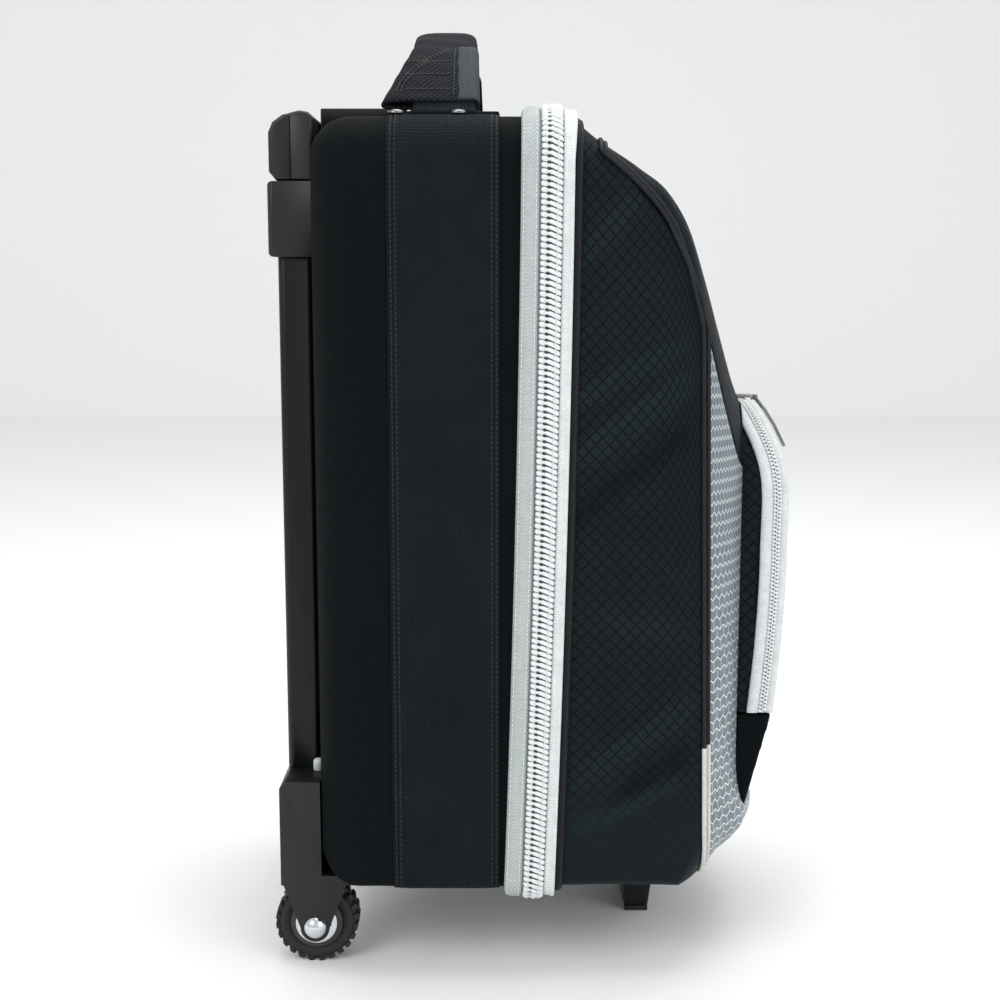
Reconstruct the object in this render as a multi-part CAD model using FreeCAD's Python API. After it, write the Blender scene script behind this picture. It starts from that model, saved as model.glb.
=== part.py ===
"""Two-ball roller bowling bag with a telescopic tow handle, wheels, zipped lid and pocket.

Millimetres. +X points to the bag's front, +Z up, Y runs across its width.
The origin is at the middle of the bag's footprint, on the floor.
"""
import FreeCAD, Part
import math
import os

V = FreeCAD.Vector
NEAR = -1
FAR = 1
SIDES = (("near", NEAR), ("far", FAR))

# ---------------------------------------------------------------- driving sizes
DEPTH = 369.0            # lock housings' back to pocket's front
WIDTH = 300.0            # across the fabric, webbing apart
FLOOR_GAP = 70.0         # floor to the bag's underside
BODY_HEIGHT = 534.0      # underside to top of the fabric body
REAR_DEPTH = 158.5       # rear shell's back to the zipper at mid height
ZIP_LEAN = 11.5          # how much further forward the zipper is at the top
TRACK_DEPTH = 33.5       # room for the tow handle behind the shell
POCKET_PROUD = 19.0      # pocket's front beyond the lid's crown
PULLER_REACH = 12.0      # puller's tip beyond the pocket's front
CORNER_R = 28.0          # rounding of the padded body
WALL = 6.0               # padded fabric wall
BODY_GAP = 0.4           # between pieces of different bodies
SLIDE_GAP = 0.35         # around each telescopic tube

BALL_D = 218.0           # a bowling ball and its clearance
BOARD_T = 2.5            # stiffener boards
SHELF_T = 9.0            # padded shelf between the balls
CRADLE_T = 26.0          # foam cradle under each ball

WEBBING_W = 75.0
WEBBING_T = 1.6
WEBBING_SETBACK = 53.5   # shell's back to the webbing
HANDLE_W = 46.0          # carry handle sleeve across X
HANDLE_RISE = 70.0       # carry handle above the body
STRAP_T = 4.0
SLEEVE_T = 14.0
SLEEVE_HALF = 116.0      # half length of the padded sleeve along Y
RIVET_R = 6.0

ZIP_REAR_W = 20.5        # coil's middle to the rear tape's edge
ZIP_FRONT_W = 15.0       # coil's middle to the front tape's edge
COIL_HALF = 8.0
TAPE_RISE = 6.5          # padded zipper flange above the body
COIL_RISE = 9.0
ZIP_END_Y = 118.0        # where the zipper stops beside the fabric hinge
HINGE_REAR_W = 18.0      # the sewn hinge's two leaves
HINGE_FRONT_W = 14.0

TUBE_Y = 85.0            # tow tubes from the middle
OUTER_TUBE = (25.0, 20.0)
TUBE_WALL = 1.5
TUBE_R = 5.0             # corner of the outer tube
TUBE_SHELL_GAP = 2.5     # outer tube's front to the shell's back
SOCKET_WALL = 2.0        # chassis behind the outer tube
TUBE_STEP = TUBE_WALL + SLIDE_GAP
HOUSING_DROP = 41.0       # top of the body down to the lock housings' top
HOUSING_H = 52.0
HOUSING_W = 26.0
GRIP_ABOVE = 7.0          # grip's top above the body
GRIP_BAR_H = 26.0
GRIP_D = 31.0
GRIP_OVERHANG = 1.5
BUTTON = (14.0, 34.0, 7.0)
BUTTON_TRAVEL = 3.0

WHEEL_R = 30.0
WHEEL_W = 24.0
WHEEL_Y = 107.0
AXLE_SETBACK = 28.0      # lock housings' back to the axle
AXLE_R = 4.0
HUB_R = 15.2
BORE_GAP = 0.05          # running clearance on the axle
EAR_T = 6.0
EAR_GAP = 2.0
TYRE_GAP = 2.3           # wheel well beyond the tyre's tread
CHASSIS_TOP = 140.0
CHASSIS_FLOOR = 62.5     # underside of the chassis plate
CHASSIS_REACH = 84.0     # chassis back to the plate's front end

POCKET_HALF = 97.0
POCKET_Z = (182.0, 403.0)
POCKET_CORNER = 55.0
POCKET_WALL = 3.0
POCKET_FLAP_T = 8.6
TOE_BOTTOM = 112.0
PIPING_ON_TOP = 38.5        # zipper's middle to where the piping crosses the top
FOOT_SETBACK = 78.0      # zipper's foot to the front foot's middle
FOOT_TIP = (18.0, 60.0)
FOOT_ROOT = (30.0, 92.0)

# ---------------------------------------------------------------- derived places
HALF_W = WIDTH / 2 - WEBBING_T
TOP = FLOOR_GAP + BODY_HEIGHT
WHEEL_PROUD = WHEEL_R - AXLE_SETBACK
X_REAR = WHEEL_PROUD - (DEPTH + PULLER_REACH + WHEEL_PROUD) / 2
X_FRONT = X_REAR + DEPTH
SHELL_BACK = X_REAR + TRACK_DEPTH
SPLIT_MID = SHELL_BACK + REAR_DEPTH
CROWN_X = X_FRONT - POCKET_PROUD
LID_DEPTH = CROWN_X - SPLIT_MID
TUBE_X = SHELL_BACK - TUBE_SHELL_GAP - OUTER_TUBE[0] / 2
AXLE_X = X_REAR + AXLE_SETBACK
WEBBING_X = SHELL_BACK + WEBBING_SETBACK
HANDLE_X = WEBBING_X + WEBBING_W / 2
AXLE_Z = WHEEL_R
CHASSIS_BACK = TUBE_X - OUTER_TUBE[0] / 2 - SOCKET_WALL
HOUSING_Z = (TOP - HOUSING_DROP - HOUSING_H, TOP - HOUSING_DROP)
GRIP_TOP = TOP + GRIP_ABOVE


def split_x(z):
    """The zipper's middle: a plane that leans forward towards the top."""
    return SPLIT_MID + ZIP_LEAN * ((z - FLOOR_GAP) / BODY_HEIGHT - 0.5)


# ---------------------------------------------------------------- shape helpers
def box(x0, x1, y0, y1, z0, z1):
    return Part.makeBox(x1 - x0, y1 - y0, z1 - z0, V(x0, y0, z0))


def prism(points, direction):
    """A closed outline of straight lines, pushed along a direction."""
    return Part.Face(Part.makePolygon(points + points[:1])).extrude(direction)


def prism_y(outline, y0, y1):
    """An outline in X and Z, pushed across the width."""
    return prism([V(x, y0, z) for x, z in outline], V(0, y1 - y0, 0))


def rod_y(radius, x, z, y0, y1):
    return Part.makeCylinder(radius, y1 - y0, V(x, y0, z), V(0, 1, 0))


def rod_z(radius, x, y, z0, z1):
    return Part.makeCylinder(radius, z1 - z0, V(x, y, z0))


def rounded_rect(x, half_w, bottom, top, radius):
    """A rounded rectangle in the plane at x, as one wire."""
    r = radius
    arcs = ((half_w - r, bottom + r, -90), (half_w - r, top - r, 0),
            (r - half_w, top - r, 90), (r - half_w, bottom + r, 180))
    edges = []
    ends = []
    for cy, cz, start in arcs:
        spots = [V(x, cy + r * math.cos(math.radians(start + a)), cz + r * math.sin(math.radians(start + a)))
                 for a in (0, 45, 90)]
        ends.append((spots[0], spots[2]))
        edges.append(Part.Arc(*spots).toShape())
    for i in range(4):
        edges.append(Part.LineSegment(ends[i][1], ends[(i + 1) % 4][0]).toShape())
    return Part.Wire(Part.__sortEdges__(edges))


def tube_block(x, y, size_x, size_y, radius, z0, z1):
    """A bar of rounded rectangular section standing on z0."""
    bar = box(x - size_x / 2, x + size_x / 2, y - size_y / 2, y + size_y / 2, z0, z1)
    upright = [e for e in bar.Edges if abs(e.tangentAt(e.FirstParameter).z) > 0.9]
    return bar.makeFillet(radius, upright)


def mirrored(shape):
    return shape.mirror(V(0, 0, 0), V(0, 1, 0))


def slab(offset0, offset1, y0=-400.0, y1=400.0, z0=-50.0, z1=800.0):
    """The space between two planes parallel to the zipper's plane."""
    return prism_y([(split_x(z0) + offset0, z0), (split_x(z0) + offset1, z0),
                    (split_x(z1) + offset1, z1), (split_x(z1) + offset0, z1)], y0, y1)


def write(name, shape):
    solids = shape.Solids
    if not solids or not shape.isValid():
        raise ValueError(name + " is not a valid solid")
    whole = solids[0] if len(solids) == 1 else Part.makeCompound(solids)
    whole.exportStep("parts/" + name + ".step")
    b = whole.optimalBoundingBox()
    print("%-24s %d solid  x %.1f..%.1f  y %.1f..%.1f  z %.1f..%.1f" % (
        name, len(solids), b.XMin, b.XMax, b.YMin, b.YMax, b.ZMin, b.ZMax))


# ---------------------------------------------------------------- body envelopes
def rear_block(inset):
    """The rounded rear body, inset (or swollen, when negative) and run past the zipper."""
    r = CORNER_R - inset
    front = SPLIT_MID + 60.0
    block = box(SHELL_BACK + inset, front, inset - HALF_W, HALF_W - inset, FLOOR_GAP + inset, TOP - inset)
    rounded = [e for e in block.Edges if abs(e.CenterOfMass.x - front) > 1.0
               and not (abs(e.tangentAt(e.FirstParameter).x) < 0.1 and e.CenterOfMass.x > SPLIT_MID)]
    return block.makeFillet(r, rounded)


# Each row: share of the lid's depth, side inset, drop of the top, rise of the underside, corner radius
LID_SECTIONS = (
    (0.05, 0.2, 0.4, 0.2, 28.0),
    (0.13, 0.2, 3.5, 0.2, 28.0),
    (0.24, 0.1, 17.0, 0.1, 24.0),
    (0.40, 0.0, 34.0, 0.0, 22.0),
    (0.54, 0.0, 52.0, 0.0, 26.0),
    (0.63, 0.3, 74.0, 0.0, 38.0),
    (0.70, 2.5, 102.0, 1.0, 54.0),
    (0.79, 17.0, 141.0, 3.0, 66.0),
    (0.88, 42.0, 178.0, 7.0, 66.0),
    (0.95, 76.0, 200.0, 20.0, 50.0),
    (1.00, 112.0, 214.0, 42.0, 32.0),
)


def lid_block(inset):
    """The crowned lid envelope: straight beside the zipper, then lofted through sections to the front."""
    wires = []
    for share, side, drop, rise, radius in LID_SECTIONS:
        x = SPLIT_MID + share * LID_DEPTH
        if share > 0.6:
            x -= inset
        wires.append(rounded_rect(x, HALF_W - side - inset, FLOOR_GAP + rise + inset, TOP - drop - inset,
                                  radius - inset))
    crown = Part.makeLoft(wires, True, False)
    start = SPLIT_MID + LID_SECTIONS[0][0] * LID_DEPTH
    straight = Part.Face(rounded_rect(start - 40.0, HALF_W - inset, FLOOR_GAP + inset, TOP - inset,
                                      CORNER_R - inset))
    return straight.extrude(V(40.0, 0, 0)).fuse(crown)


REAR = rear_block(0.0)
LID = lid_block(0.0)
IN_FRONT = slab(BODY_GAP / 2, 600.0)
BEHIND = slab(-600.0, -BODY_GAP / 2)


def piping_x(z):
    """Where the lid's side gusset meets its crowned front, which leans back above the shoulder."""
    shoulder = TOP - 155.0
    straight = SPLIT_MID + 0.735 * LID_DEPTH - 0.020 * (z - FLOOR_GAP)
    above = max(z - shoulder, 0.0)
    return max(straight - (0.0017 + 0.0000175 * above) * above ** 2, SPLIT_MID + PIPING_ON_TOP)


def piping_outline(offset0, offset1):
    """A band in X and Z that follows the piping from the underside to above the top."""
    shares = (0.3, 0.7, 0.78, 0.82, 0.85, 0.88, 0.91, 0.94, 0.96, 1.05)
    heights = [FLOOR_GAP - 20.0] + [FLOOR_GAP + BODY_HEIGHT * s for s in shares]
    return ([(piping_x(z) + offset0, z) for z in heights]
            + [(piping_x(z) + offset1, z) for z in reversed(heights)])


# ---------------------------------------------------------------- rear body
def rear_shell():
    return REAR.cut(rear_block(WALL)).common(BEHIND)


def inside_shell(shape):
    """A piece trimmed to the padded, round-cornered inside of the rear shell."""
    return shape.common(rear_block(WALL))


BOARD_X = SHELL_BACK + WALL
CRADLE_X = BOARD_X + BOARD_T
BALL_X = CRADLE_X + 6.0 + BALL_D / 2
BALL_LOW_Z = FLOOR_GAP + WALL + BOARD_T + 8.0 + BALL_D / 2
SHELF_Z = BALL_LOW_Z + BALL_D / 2 + 2.0
BALL_HIGH_Z = SHELF_Z + SHELF_T + 8.0 + BALL_D / 2


def back_board():
    return box(BOARD_X, BOARD_X + BOARD_T, -HALF_W + CORNER_R, HALF_W - CORNER_R,
               FLOOR_GAP + CORNER_R, TOP - CORNER_R)


def base_board():
    z0 = FLOOR_GAP + WALL
    board = box(CRADLE_X, split_x(z0) - 8.0, -HALF_W + CORNER_R, HALF_W - CORNER_R, z0, z0 + BOARD_T)
    return inside_shell(board)


def cradle(z_floor, ball_z):
    """A foam block with a round seat for one ball."""
    block = box(CRADLE_X, split_x(z_floor) - 10.0, -HALF_W + CORNER_R, HALF_W - CORNER_R, z_floor,
                z_floor + CRADLE_T)
    return inside_shell(block.cut(Part.makeSphere(BALL_D / 2, V(BALL_X, 0, ball_z))))


def shelf():
    return inside_shell(box(CRADLE_X, split_x(SHELF_Z) - 8.0, -HALF_W + WALL, HALF_W - WALL,
                            SHELF_Z, SHELF_Z + SHELF_T))


def webbing(side):
    """The ribbed band laid up one side of the rear shell and over the shoulder."""
    over = rear_block(-WEBBING_T).cut(REAR)
    reach = box(WEBBING_X, WEBBING_X + WEBBING_W, -HALF_W - 9.0, -HALF_W + CORNER_R + 6.0,
                FLOOR_GAP + 2.5, TOP + 9.0)
    band = over.common(reach)
    return band if side == NEAR else mirrored(band)


HANDLE_FOOT_Y = HALF_W - CORNER_R + 10.0


def handle_arch(rise, thickness, half_width_x):
    """A band that arches across the top, as a slice of a ring about an X axis."""
    chord = HANDLE_FOOT_Y
    radius = (chord ** 2 + rise ** 2) / (2 * rise)
    centre_z = TOP + rise - radius
    ring = Part.makeCylinder(radius, 2 * half_width_x, V(HANDLE_X - half_width_x, 0, centre_z), V(1, 0, 0))
    bore = Part.makeCylinder(radius - thickness, 2 * half_width_x, V(HANDLE_X - half_width_x, 0, centre_z),
                             V(1, 0, 0))
    return ring.cut(bore)


def handle_sleeve():
    arch = handle_arch(HANDLE_RISE, SLEEVE_T, HANDLE_W / 2)
    return arch.common(box(-400, 400, -SLEEVE_HALF, SLEEVE_HALF, TOP + 12.0, TOP + 200.0))


def handle_strap():
    """Webbing through the sleeve; its ends widen into tabs sewn flat on the shoulders."""
    inset = (SLEEVE_T - STRAP_T) / 2
    arch = handle_arch(HANDLE_RISE - inset, STRAP_T, HANDLE_W / 2 - 2.0)
    arch = arch.common(box(-400, 400, -200, 200, TOP + 2.0, TOP + 200.0))
    tab_y = (HANDLE_FOOT_Y - 34.0, HANDLE_FOOT_Y - 2.0)
    tabs = []
    for sign in (NEAR, FAR):
        y0, y1 = sorted((sign * tab_y[0], sign * tab_y[1]))
        tabs.append(box(WEBBING_X, WEBBING_X + WEBBING_W, y0, y1, TOP, TOP + 3.0).cut(WEB_NEAR).cut(WEB_FAR))
    return arch.multiFuse(tabs).removeSplitter()


def strap_rivets():
    rivets = []
    for sign in (NEAR, FAR):
        for x in (HANDLE_X - HANDLE_W / 2 - 7.0, HANDLE_X + HANDLE_W / 2 + 7.0):
            head = rod_z(RIVET_R, x, sign * (HANDLE_FOOT_Y - 12.0), TOP + 3.0, TOP + 5.2)
            rivets.append(head.makeFillet(1.2, [head.Edges[0]]))
    return Part.makeCompound(rivets)


def top_bracket():
    """A moulded channel over the top rear edge: a flat top, two side flanges and a lip down the back."""
    half = 60.0
    top_z = TOP + 12.0
    skin = 3.0
    x0 = SHELL_BACK + 0.5
    x1 = SHELL_BACK + 62.0
    plate = box(x0, x1, -half, half, top_z - skin, top_z)
    leg = box(x0, x0 + skin, -half, half, TOP - 0.6 * CORNER_R, top_z)
    flanges = [box(x0, x1, y, y + skin, TOP, top_z) for y in (-half, half - skin)]
    return plate.multiFuse([leg] + flanges).cut(REAR).removeSplitter()


# ---------------------------------------------------------------- tow handle
def tube_stage(stage, z0, z1, side):
    """One hollow tube: stage 0 is the outer tube, 1 the middle one, 2 the inner one."""
    sx = OUTER_TUBE[0] - 2 * stage * TUBE_STEP
    sy = OUTER_TUBE[1] - 2 * stage * TUBE_STEP
    r = TUBE_R - stage * TUBE_STEP * 0.6
    y = side * TUBE_Y
    outside = tube_block(TUBE_X, y, sx, sy, r, z0, z1)
    inside = tube_block(TUBE_X, y, sx - 2 * TUBE_WALL, sy - 2 * TUBE_WALL, r - TUBE_WALL * 0.6, z0, z1)
    return outside.cut(inside)


def tube_envelope(stage, z0, z1, side, gap):
    sx = OUTER_TUBE[0] - 2 * stage * TUBE_STEP + 2 * gap
    sy = OUTER_TUBE[1] - 2 * stage * TUBE_STEP + 2 * gap
    return tube_block(TUBE_X, side * TUBE_Y, sx, sy, TUBE_R - stage * TUBE_STEP * 0.6 + gap * 0.6, z0, z1)


SOCKET_Z = 84.0
MID_Z = (SOCKET_Z + 12.0, HOUSING_Z[1] - 4.0)
INNER_Z = (MID_Z[0] + 10.0, GRIP_TOP - 16.0)


def lock_housing(side):
    """The collar clamped on the outer tube's top, fixed to the shell's back."""
    y = side * TUBE_Y
    x1 = SHELL_BACK - BODY_GAP
    body = box(X_REAR, x1, y - HOUSING_W / 2, y + HOUSING_W / 2, *HOUSING_Z)
    rounded = [e for e in body.Edges if abs(e.CenterOfMass.x - X_REAR) < 0.1]
    body = body.makeFillet(4.0, rounded)
    pad = box(x1 - 0.1, SHELL_BACK, y - 9.0, y + 9.0, HOUSING_Z[0] + 6.0, HOUSING_Z[1] - 6.0)
    body = body.fuse(pad).cut(tube_envelope(0, HOUSING_Z[0] - 1, HOUSING_Z[1] - 4.0, side, 0.0))
    return body.cut(tube_envelope(1, HOUSING_Z[0], HOUSING_Z[1] + 1, side, SLIDE_GAP)).removeSplitter()


def tie_bar():
    """The plate that joins the two lock housings across the back."""
    y = TUBE_Y - HOUSING_W / 2
    plate = box(SHELL_BACK - 9.0, SHELL_BACK - 1.0, -y, y, HOUSING_Z[0] + 6.0, HOUSING_Z[1] - 14.0)
    along = [e for e in plate.Edges if abs(e.tangentAt(e.FirstParameter).y) > 0.9]
    return plate.makeFillet(2.0, along)


def grip_outline(z0, z1):
    """The grip's end section: a block with a slanted, rounded top."""
    x0 = X_REAR + GRIP_OVERHANG
    x1 = x0 + GRIP_D
    return [(x0 + 5.0, z0), (x1, z0), (x1, z1 - 5.0), (x1 - 3.0, z1 - 1.0), (x1 - 9.0, z1),
            (x0 + 10.0, z1 - 3.0), (x0 + 3.0, z1 - 8.0), (x0, z1 - 15.0), (x0, z0 + 6.0)]


GRIP_Y = TUBE_Y + HOUSING_W / 2 - 1.0
GRIP_Z0 = HOUSING_Z[1] + BODY_GAP
GRIP_PART_X = X_REAR + GRIP_OVERHANG + GRIP_D / 2


def grip_whole():
    """Both end blocks and the hand bar, hollowed for the tubes and the button's well."""
    whole = prism_y(grip_outline(GRIP_Z0, GRIP_TOP), -GRIP_Y, GRIP_Y)
    ends = [e for e in whole.Edges if abs(abs(e.CenterOfMass.y) - GRIP_Y) < 0.1]
    whole = whole.makeFillet(2.5, ends)
    gap_y = TUBE_Y - HOUSING_W / 2 + 1.0
    whole = whole.cut(box(X_REAR - 5, SHELL_BACK, -gap_y, gap_y, GRIP_Z0 - 1, GRIP_TOP - GRIP_BAR_H))
    for sign in (NEAR, FAR):
        whole = whole.cut(tube_envelope(2, GRIP_Z0 - 1, INNER_Z[1], sign, 0.0))
    well = box(GRIP_PART_X - BUTTON[0] / 2 - BODY_GAP, GRIP_PART_X + BUTTON[0] / 2 + BODY_GAP,
               -BUTTON[1] / 2 - BODY_GAP, BUTTON[1] / 2 + BODY_GAP, BUTTON_FLOOR, GRIP_TOP + 5.0)
    return whole.cut(well)


def grip_half(whole, rear):
    x0, x1 = (X_REAR - 5, GRIP_PART_X) if rear else (GRIP_PART_X, SHELL_BACK)
    return whole.common(box(x0, x1, -200, 200, 500, 700))


BUTTON_TOP = GRIP_TOP - 1.5
BUTTON_FLOOR = BUTTON_TOP - BUTTON[2] - BUTTON_TRAVEL - 3.5


def release_button():
    cap = box(GRIP_PART_X - BUTTON[0] / 2, GRIP_PART_X + BUTTON[0] / 2, -BUTTON[1] / 2, BUTTON[1] / 2,
              BUTTON_TOP - BUTTON[2], BUTTON_TOP)
    edges = [e for e in cap.Edges if e.CenterOfMass.z > BUTTON_TOP - 0.1]
    return cap.makeFillet(1.2, edges)


def button_spring():
    """A short wave spring under the button, kept as a thin sleeve."""
    z0 = BUTTON_FLOOR
    z1 = BUTTON_TOP - BUTTON[2]
    return rod_z(4.0, GRIP_PART_X, 0, z0, z1).cut(rod_z(3.2, GRIP_PART_X, 0, z0, z1))


# ---------------------------------------------------------------- wheels and chassis
EAR_IN = WHEEL_Y - WHEEL_W / 2 - EAR_GAP
EAR_OUT = WHEEL_Y + WHEEL_W / 2 + EAR_GAP + 2.0
COLUMN_Y = (TUBE_Y - OUTER_TUBE[1] / 2 - 3.0, EAR_OUT + EAR_T)
SCREW_X = AXLE_X + 2 * WHEEL_R - 40.0


def fork_ear(y0, y1):
    """A tapered ear that narrows to a round end about the axle."""
    tip = AXLE_R + 6.5
    flare = prism_y([(CHASSIS_BACK + 1.0, CHASSIS_FLOOR + 2), (AXLE_X + 24.0, CHASSIS_FLOOR + 2),
                     (AXLE_X + tip, AXLE_Z), (AXLE_X - tip, AXLE_Z)], y0, y1)
    return flare.fuse(rod_y(tip, AXLE_X, AXLE_Z, y0, y1))


def wheel_chassis(side):
    """Tube socket, column, foot plate and fork in one moulding."""
    y0, y1 = COLUMN_Y
    x1 = SHELL_BACK
    column = prism_y([(CHASSIS_BACK, CHASSIS_FLOOR), (x1, CHASSIS_FLOOR), (x1, CHASSIS_TOP),
                      (CHASSIS_BACK + 4.0, CHASSIS_TOP), (CHASSIS_BACK, CHASSIS_TOP - 5.0)], y0, y1)
    foot_end = CHASSIS_BACK + CHASSIS_REACH
    plate = prism_y([(CHASSIS_BACK, CHASSIS_FLOOR), (foot_end - 26.0, CHASSIS_FLOOR),
                     (foot_end, FLOOR_GAP - 2.0), (foot_end, FLOOR_GAP), (CHASSIS_BACK, FLOOR_GAP)], y0, y1)
    ears = [fork_ear(EAR_IN - EAR_T, EAR_IN), fork_ear(EAR_OUT, EAR_OUT + EAR_T)]
    body = column.multiFuse([plate] + ears)
    half = WHEEL_W / 2 + EAR_GAP - 0.5
    body = body.cut(rod_y(WHEEL_R + TYRE_GAP, AXLE_X, AXLE_Z, WHEEL_Y - half, WHEEL_Y + half))
    body = body.cut(tube_envelope(0, SOCKET_Z, CHASSIS_TOP + 1, FAR, 0.0))
    body = body.cut(rod_y(AXLE_R, AXLE_X, AXLE_Z, y0 - 5, y1 + 5))
    body = body.cut(mirrored(WEB_NEAR))
    return body if side == FAR else mirrored(body)


def axle(side):
    """A rivet axle: a pin through both ears with a domed head outside."""
    head_y = EAR_OUT + EAR_T
    pin = rod_y(AXLE_R, AXLE_X, AXLE_Z, EAR_IN - EAR_T - 1.5, head_y)
    ball_r = 9.6
    dome_c = head_y + 4.5 - ball_r
    dome = Part.makeSphere(ball_r, V(AXLE_X, dome_c, AXLE_Z))
    dome = dome.common(box(-400, 400, head_y, head_y + 20, 0, 100))
    body = pin.fuse(dome)
    return body if side == FAR else mirrored(body)


def hub(side):
    """The wheel's plastic hub with its bore, carrying the tyre."""
    y0 = WHEEL_Y - WHEEL_W / 2
    y1 = WHEEL_Y + WHEEL_W / 2
    core = rod_y(WHEEL_R - 11.0, AXLE_X, AXLE_Z, y0, y1)
    sleeve = rod_y(AXLE_R + 2.5, AXLE_X, AXLE_Z, y0 - 1.0, y1)
    body = core.fuse(sleeve).cut(rod_y(AXLE_R + BORE_GAP, AXLE_X, AXLE_Z, y0 - 5, y1 + 5))
    return body if side == FAR else mirrored(body)


def hub_disc(side):
    y0 = WHEEL_Y + WHEEL_W / 2
    disc = rod_y(HUB_R, AXLE_X, AXLE_Z, y0, y0 + 2.0)
    disc = disc.cut(rod_y(AXLE_R + 0.6, AXLE_X, AXLE_Z, y0 - 1, y0 + 3))
    outer = [e for e in disc.Edges if abs(e.CenterOfMass.y - y0 - 2.0) < 0.1]
    rim = [e for e in outer if e.Length > 2 * math.pi * (HUB_R - 1)]
    disc = disc.makeFillet(0.8, rim)
    return disc if side == FAR else mirrored(disc)


def tyre(side):
    y0 = WHEEL_Y - WHEEL_W / 2
    y1 = WHEEL_Y + WHEEL_W / 2
    ring = rod_y(WHEEL_R, AXLE_X, AXLE_Z, y0, y1)
    rims = [e for e in ring.Edges if e.Closed and abs(e.Length - 2 * math.pi * WHEEL_R) < 1.0]
    ring = ring.makeFillet(3.0, rims).cut(rod_y(WHEEL_R - 11.0, AXLE_X, AXLE_Z, y0 - 1, y1 + 1))
    return ring if side == FAR else mirrored(ring)


def tube_plugs():
    """Pale domed plugs that stand in the chassis beside each tube."""
    plugs = []
    for sign in (NEAR, FAR):
        x = SHELL_BACK - 4.2
        y = sign * (TUBE_Y + OUTER_TUBE[1] / 2 + 6.0)
        plug = rod_z(3.8, x, y, CHASSIS_TOP, CHASSIS_TOP + 9.0)
        top = [e for e in plug.Edges if e.Closed and e.CenterOfMass.z > CHASSIS_TOP + 8.0]
        plugs.append(plug.makeFillet(3.0, top))
    return Part.makeCompound(plugs)


def chassis_screws():
    """Pan-head screws that hold each chassis to the shell, under its foot plate."""
    screws = []
    for sign in (NEAR, FAR):
        for y in (TUBE_Y - 4.0, TUBE_Y + 30.0):
            head = rod_z(3.6, SCREW_X, sign * y, CHASSIS_FLOOR - 2.0, CHASSIS_FLOOR)
            screws.append(head)
    return Part.makeCompound(screws)


# ---------------------------------------------------------------- zipper
def zip_ring(rise, offset0, offset1, y_end=400.0):
    """A raised band round the body along the zipper's plane, up to y_end on the far side."""
    ring = rear_block(-rise).cut(REAR)
    return ring.common(slab(offset0, offset1, y1=y_end))


def hinge_strip(offset0, offset1):
    """One leaf of the sewn fabric hinge on the far side."""
    return slab(offset0, offset1, HALF_W + TAPE_RISE, HALF_W + COIL_RISE,
                FLOOR_GAP + CORNER_R, TOP - CORNER_R)


SLIDER_Y = 98.0


def slider_block():
    """A zipper slider on the top run: a crown plate over the coils and a flange on the rear tape."""
    z = TOP + COIL_RISE + BODY_GAP
    x = split_x(z)
    plate = box(x - COIL_HALF - 2.4, x + COIL_HALF, SLIDER_Y - 11.0, SLIDER_Y + 11.0, z, z + 2.0)
    rear_wall = box(x - COIL_HALF - 2.4, x - COIL_HALF - BODY_GAP, SLIDER_Y - 8.0, SLIDER_Y + 8.0,
                    TOP + TAPE_RISE + BODY_GAP, z)
    loop = box(x - 1.5, x + 1.5, SLIDER_Y - 7.0, SLIDER_Y + 1.0, z + 2.0, z + 5.0)
    eye = rod_x_hole(x, SLIDER_Y - 3.0, z + 3.2, 1.0)
    return plate.multiFuse([rear_wall, loop]).cut(eye).removeSplitter()


def rod_x_hole(x, y, z, radius):
    return Part.makeCylinder(radius, 10.0, V(x - 5.0, y, z), V(1, 0, 0))


def main_pull():
    """The slider's pull: a pin through the loop with a flat tab, lying towards the near side."""
    z = TOP + COIL_RISE + BODY_GAP + 3.2
    x = split_x(z)
    y = SLIDER_Y - 3.0
    pin = Part.makeCylinder(0.95, 9.0, V(x - 4.5, y, z), V(1, 0, 0))
    arms = [box(x0, x0 + 2.0, y - 16.0, y + 0.8, z - 0.8, z + 0.8) for x0 in (x - 4.6, x + 2.6)]
    tab = box(x - 4.6, x + 4.6, y - 42.0, y - 9.0, z - 0.8, z + 0.8)
    return pin.multiFuse(arms + [tab]).removeSplitter()


# ---------------------------------------------------------------- lid
LID_INSIDE = lid_block(WALL)
PIPE_BAND = prism_y(piping_outline(-2.0, 2.0), -400, 400)
BEHIND_PIPE = prism_y(piping_outline(-600.0, 0.0), -400, 400)


def lid_wall():
    return LID.cut(LID_INSIDE).common(IN_FRONT)


def piping_ring():
    """A piping cord that stands proud all round the crowned front."""
    swollen = lid_block(-2.4)
    return swollen.common(PIPE_BAND).cut(LID)


PALE_PIPING_TOP = FLOOR_GAP + 103.0


def silver_panel(side):
    """A thin ripstop panel laid on the crown, from the shoulder down beside the pocket."""
    thin = lid_block(-0.8).cut(LID)
    zone = prism_y([(piping_x(80) + 2.5, 60), (CROWN_X + 5, 60), (CROWN_X + 5, TOP - 209),
                    (CROWN_X - 21, TOP - 185), (piping_x(TOP - 128) + 2.5, TOP - 126),
                    (piping_x(TOP - 156) + 2.5, TOP - 156)], -HALF_W - 20, -POCKET_HALF - 1.0)
    panel = thin.common(zone)
    return panel if side == NEAR else mirrored(panel)


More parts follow.
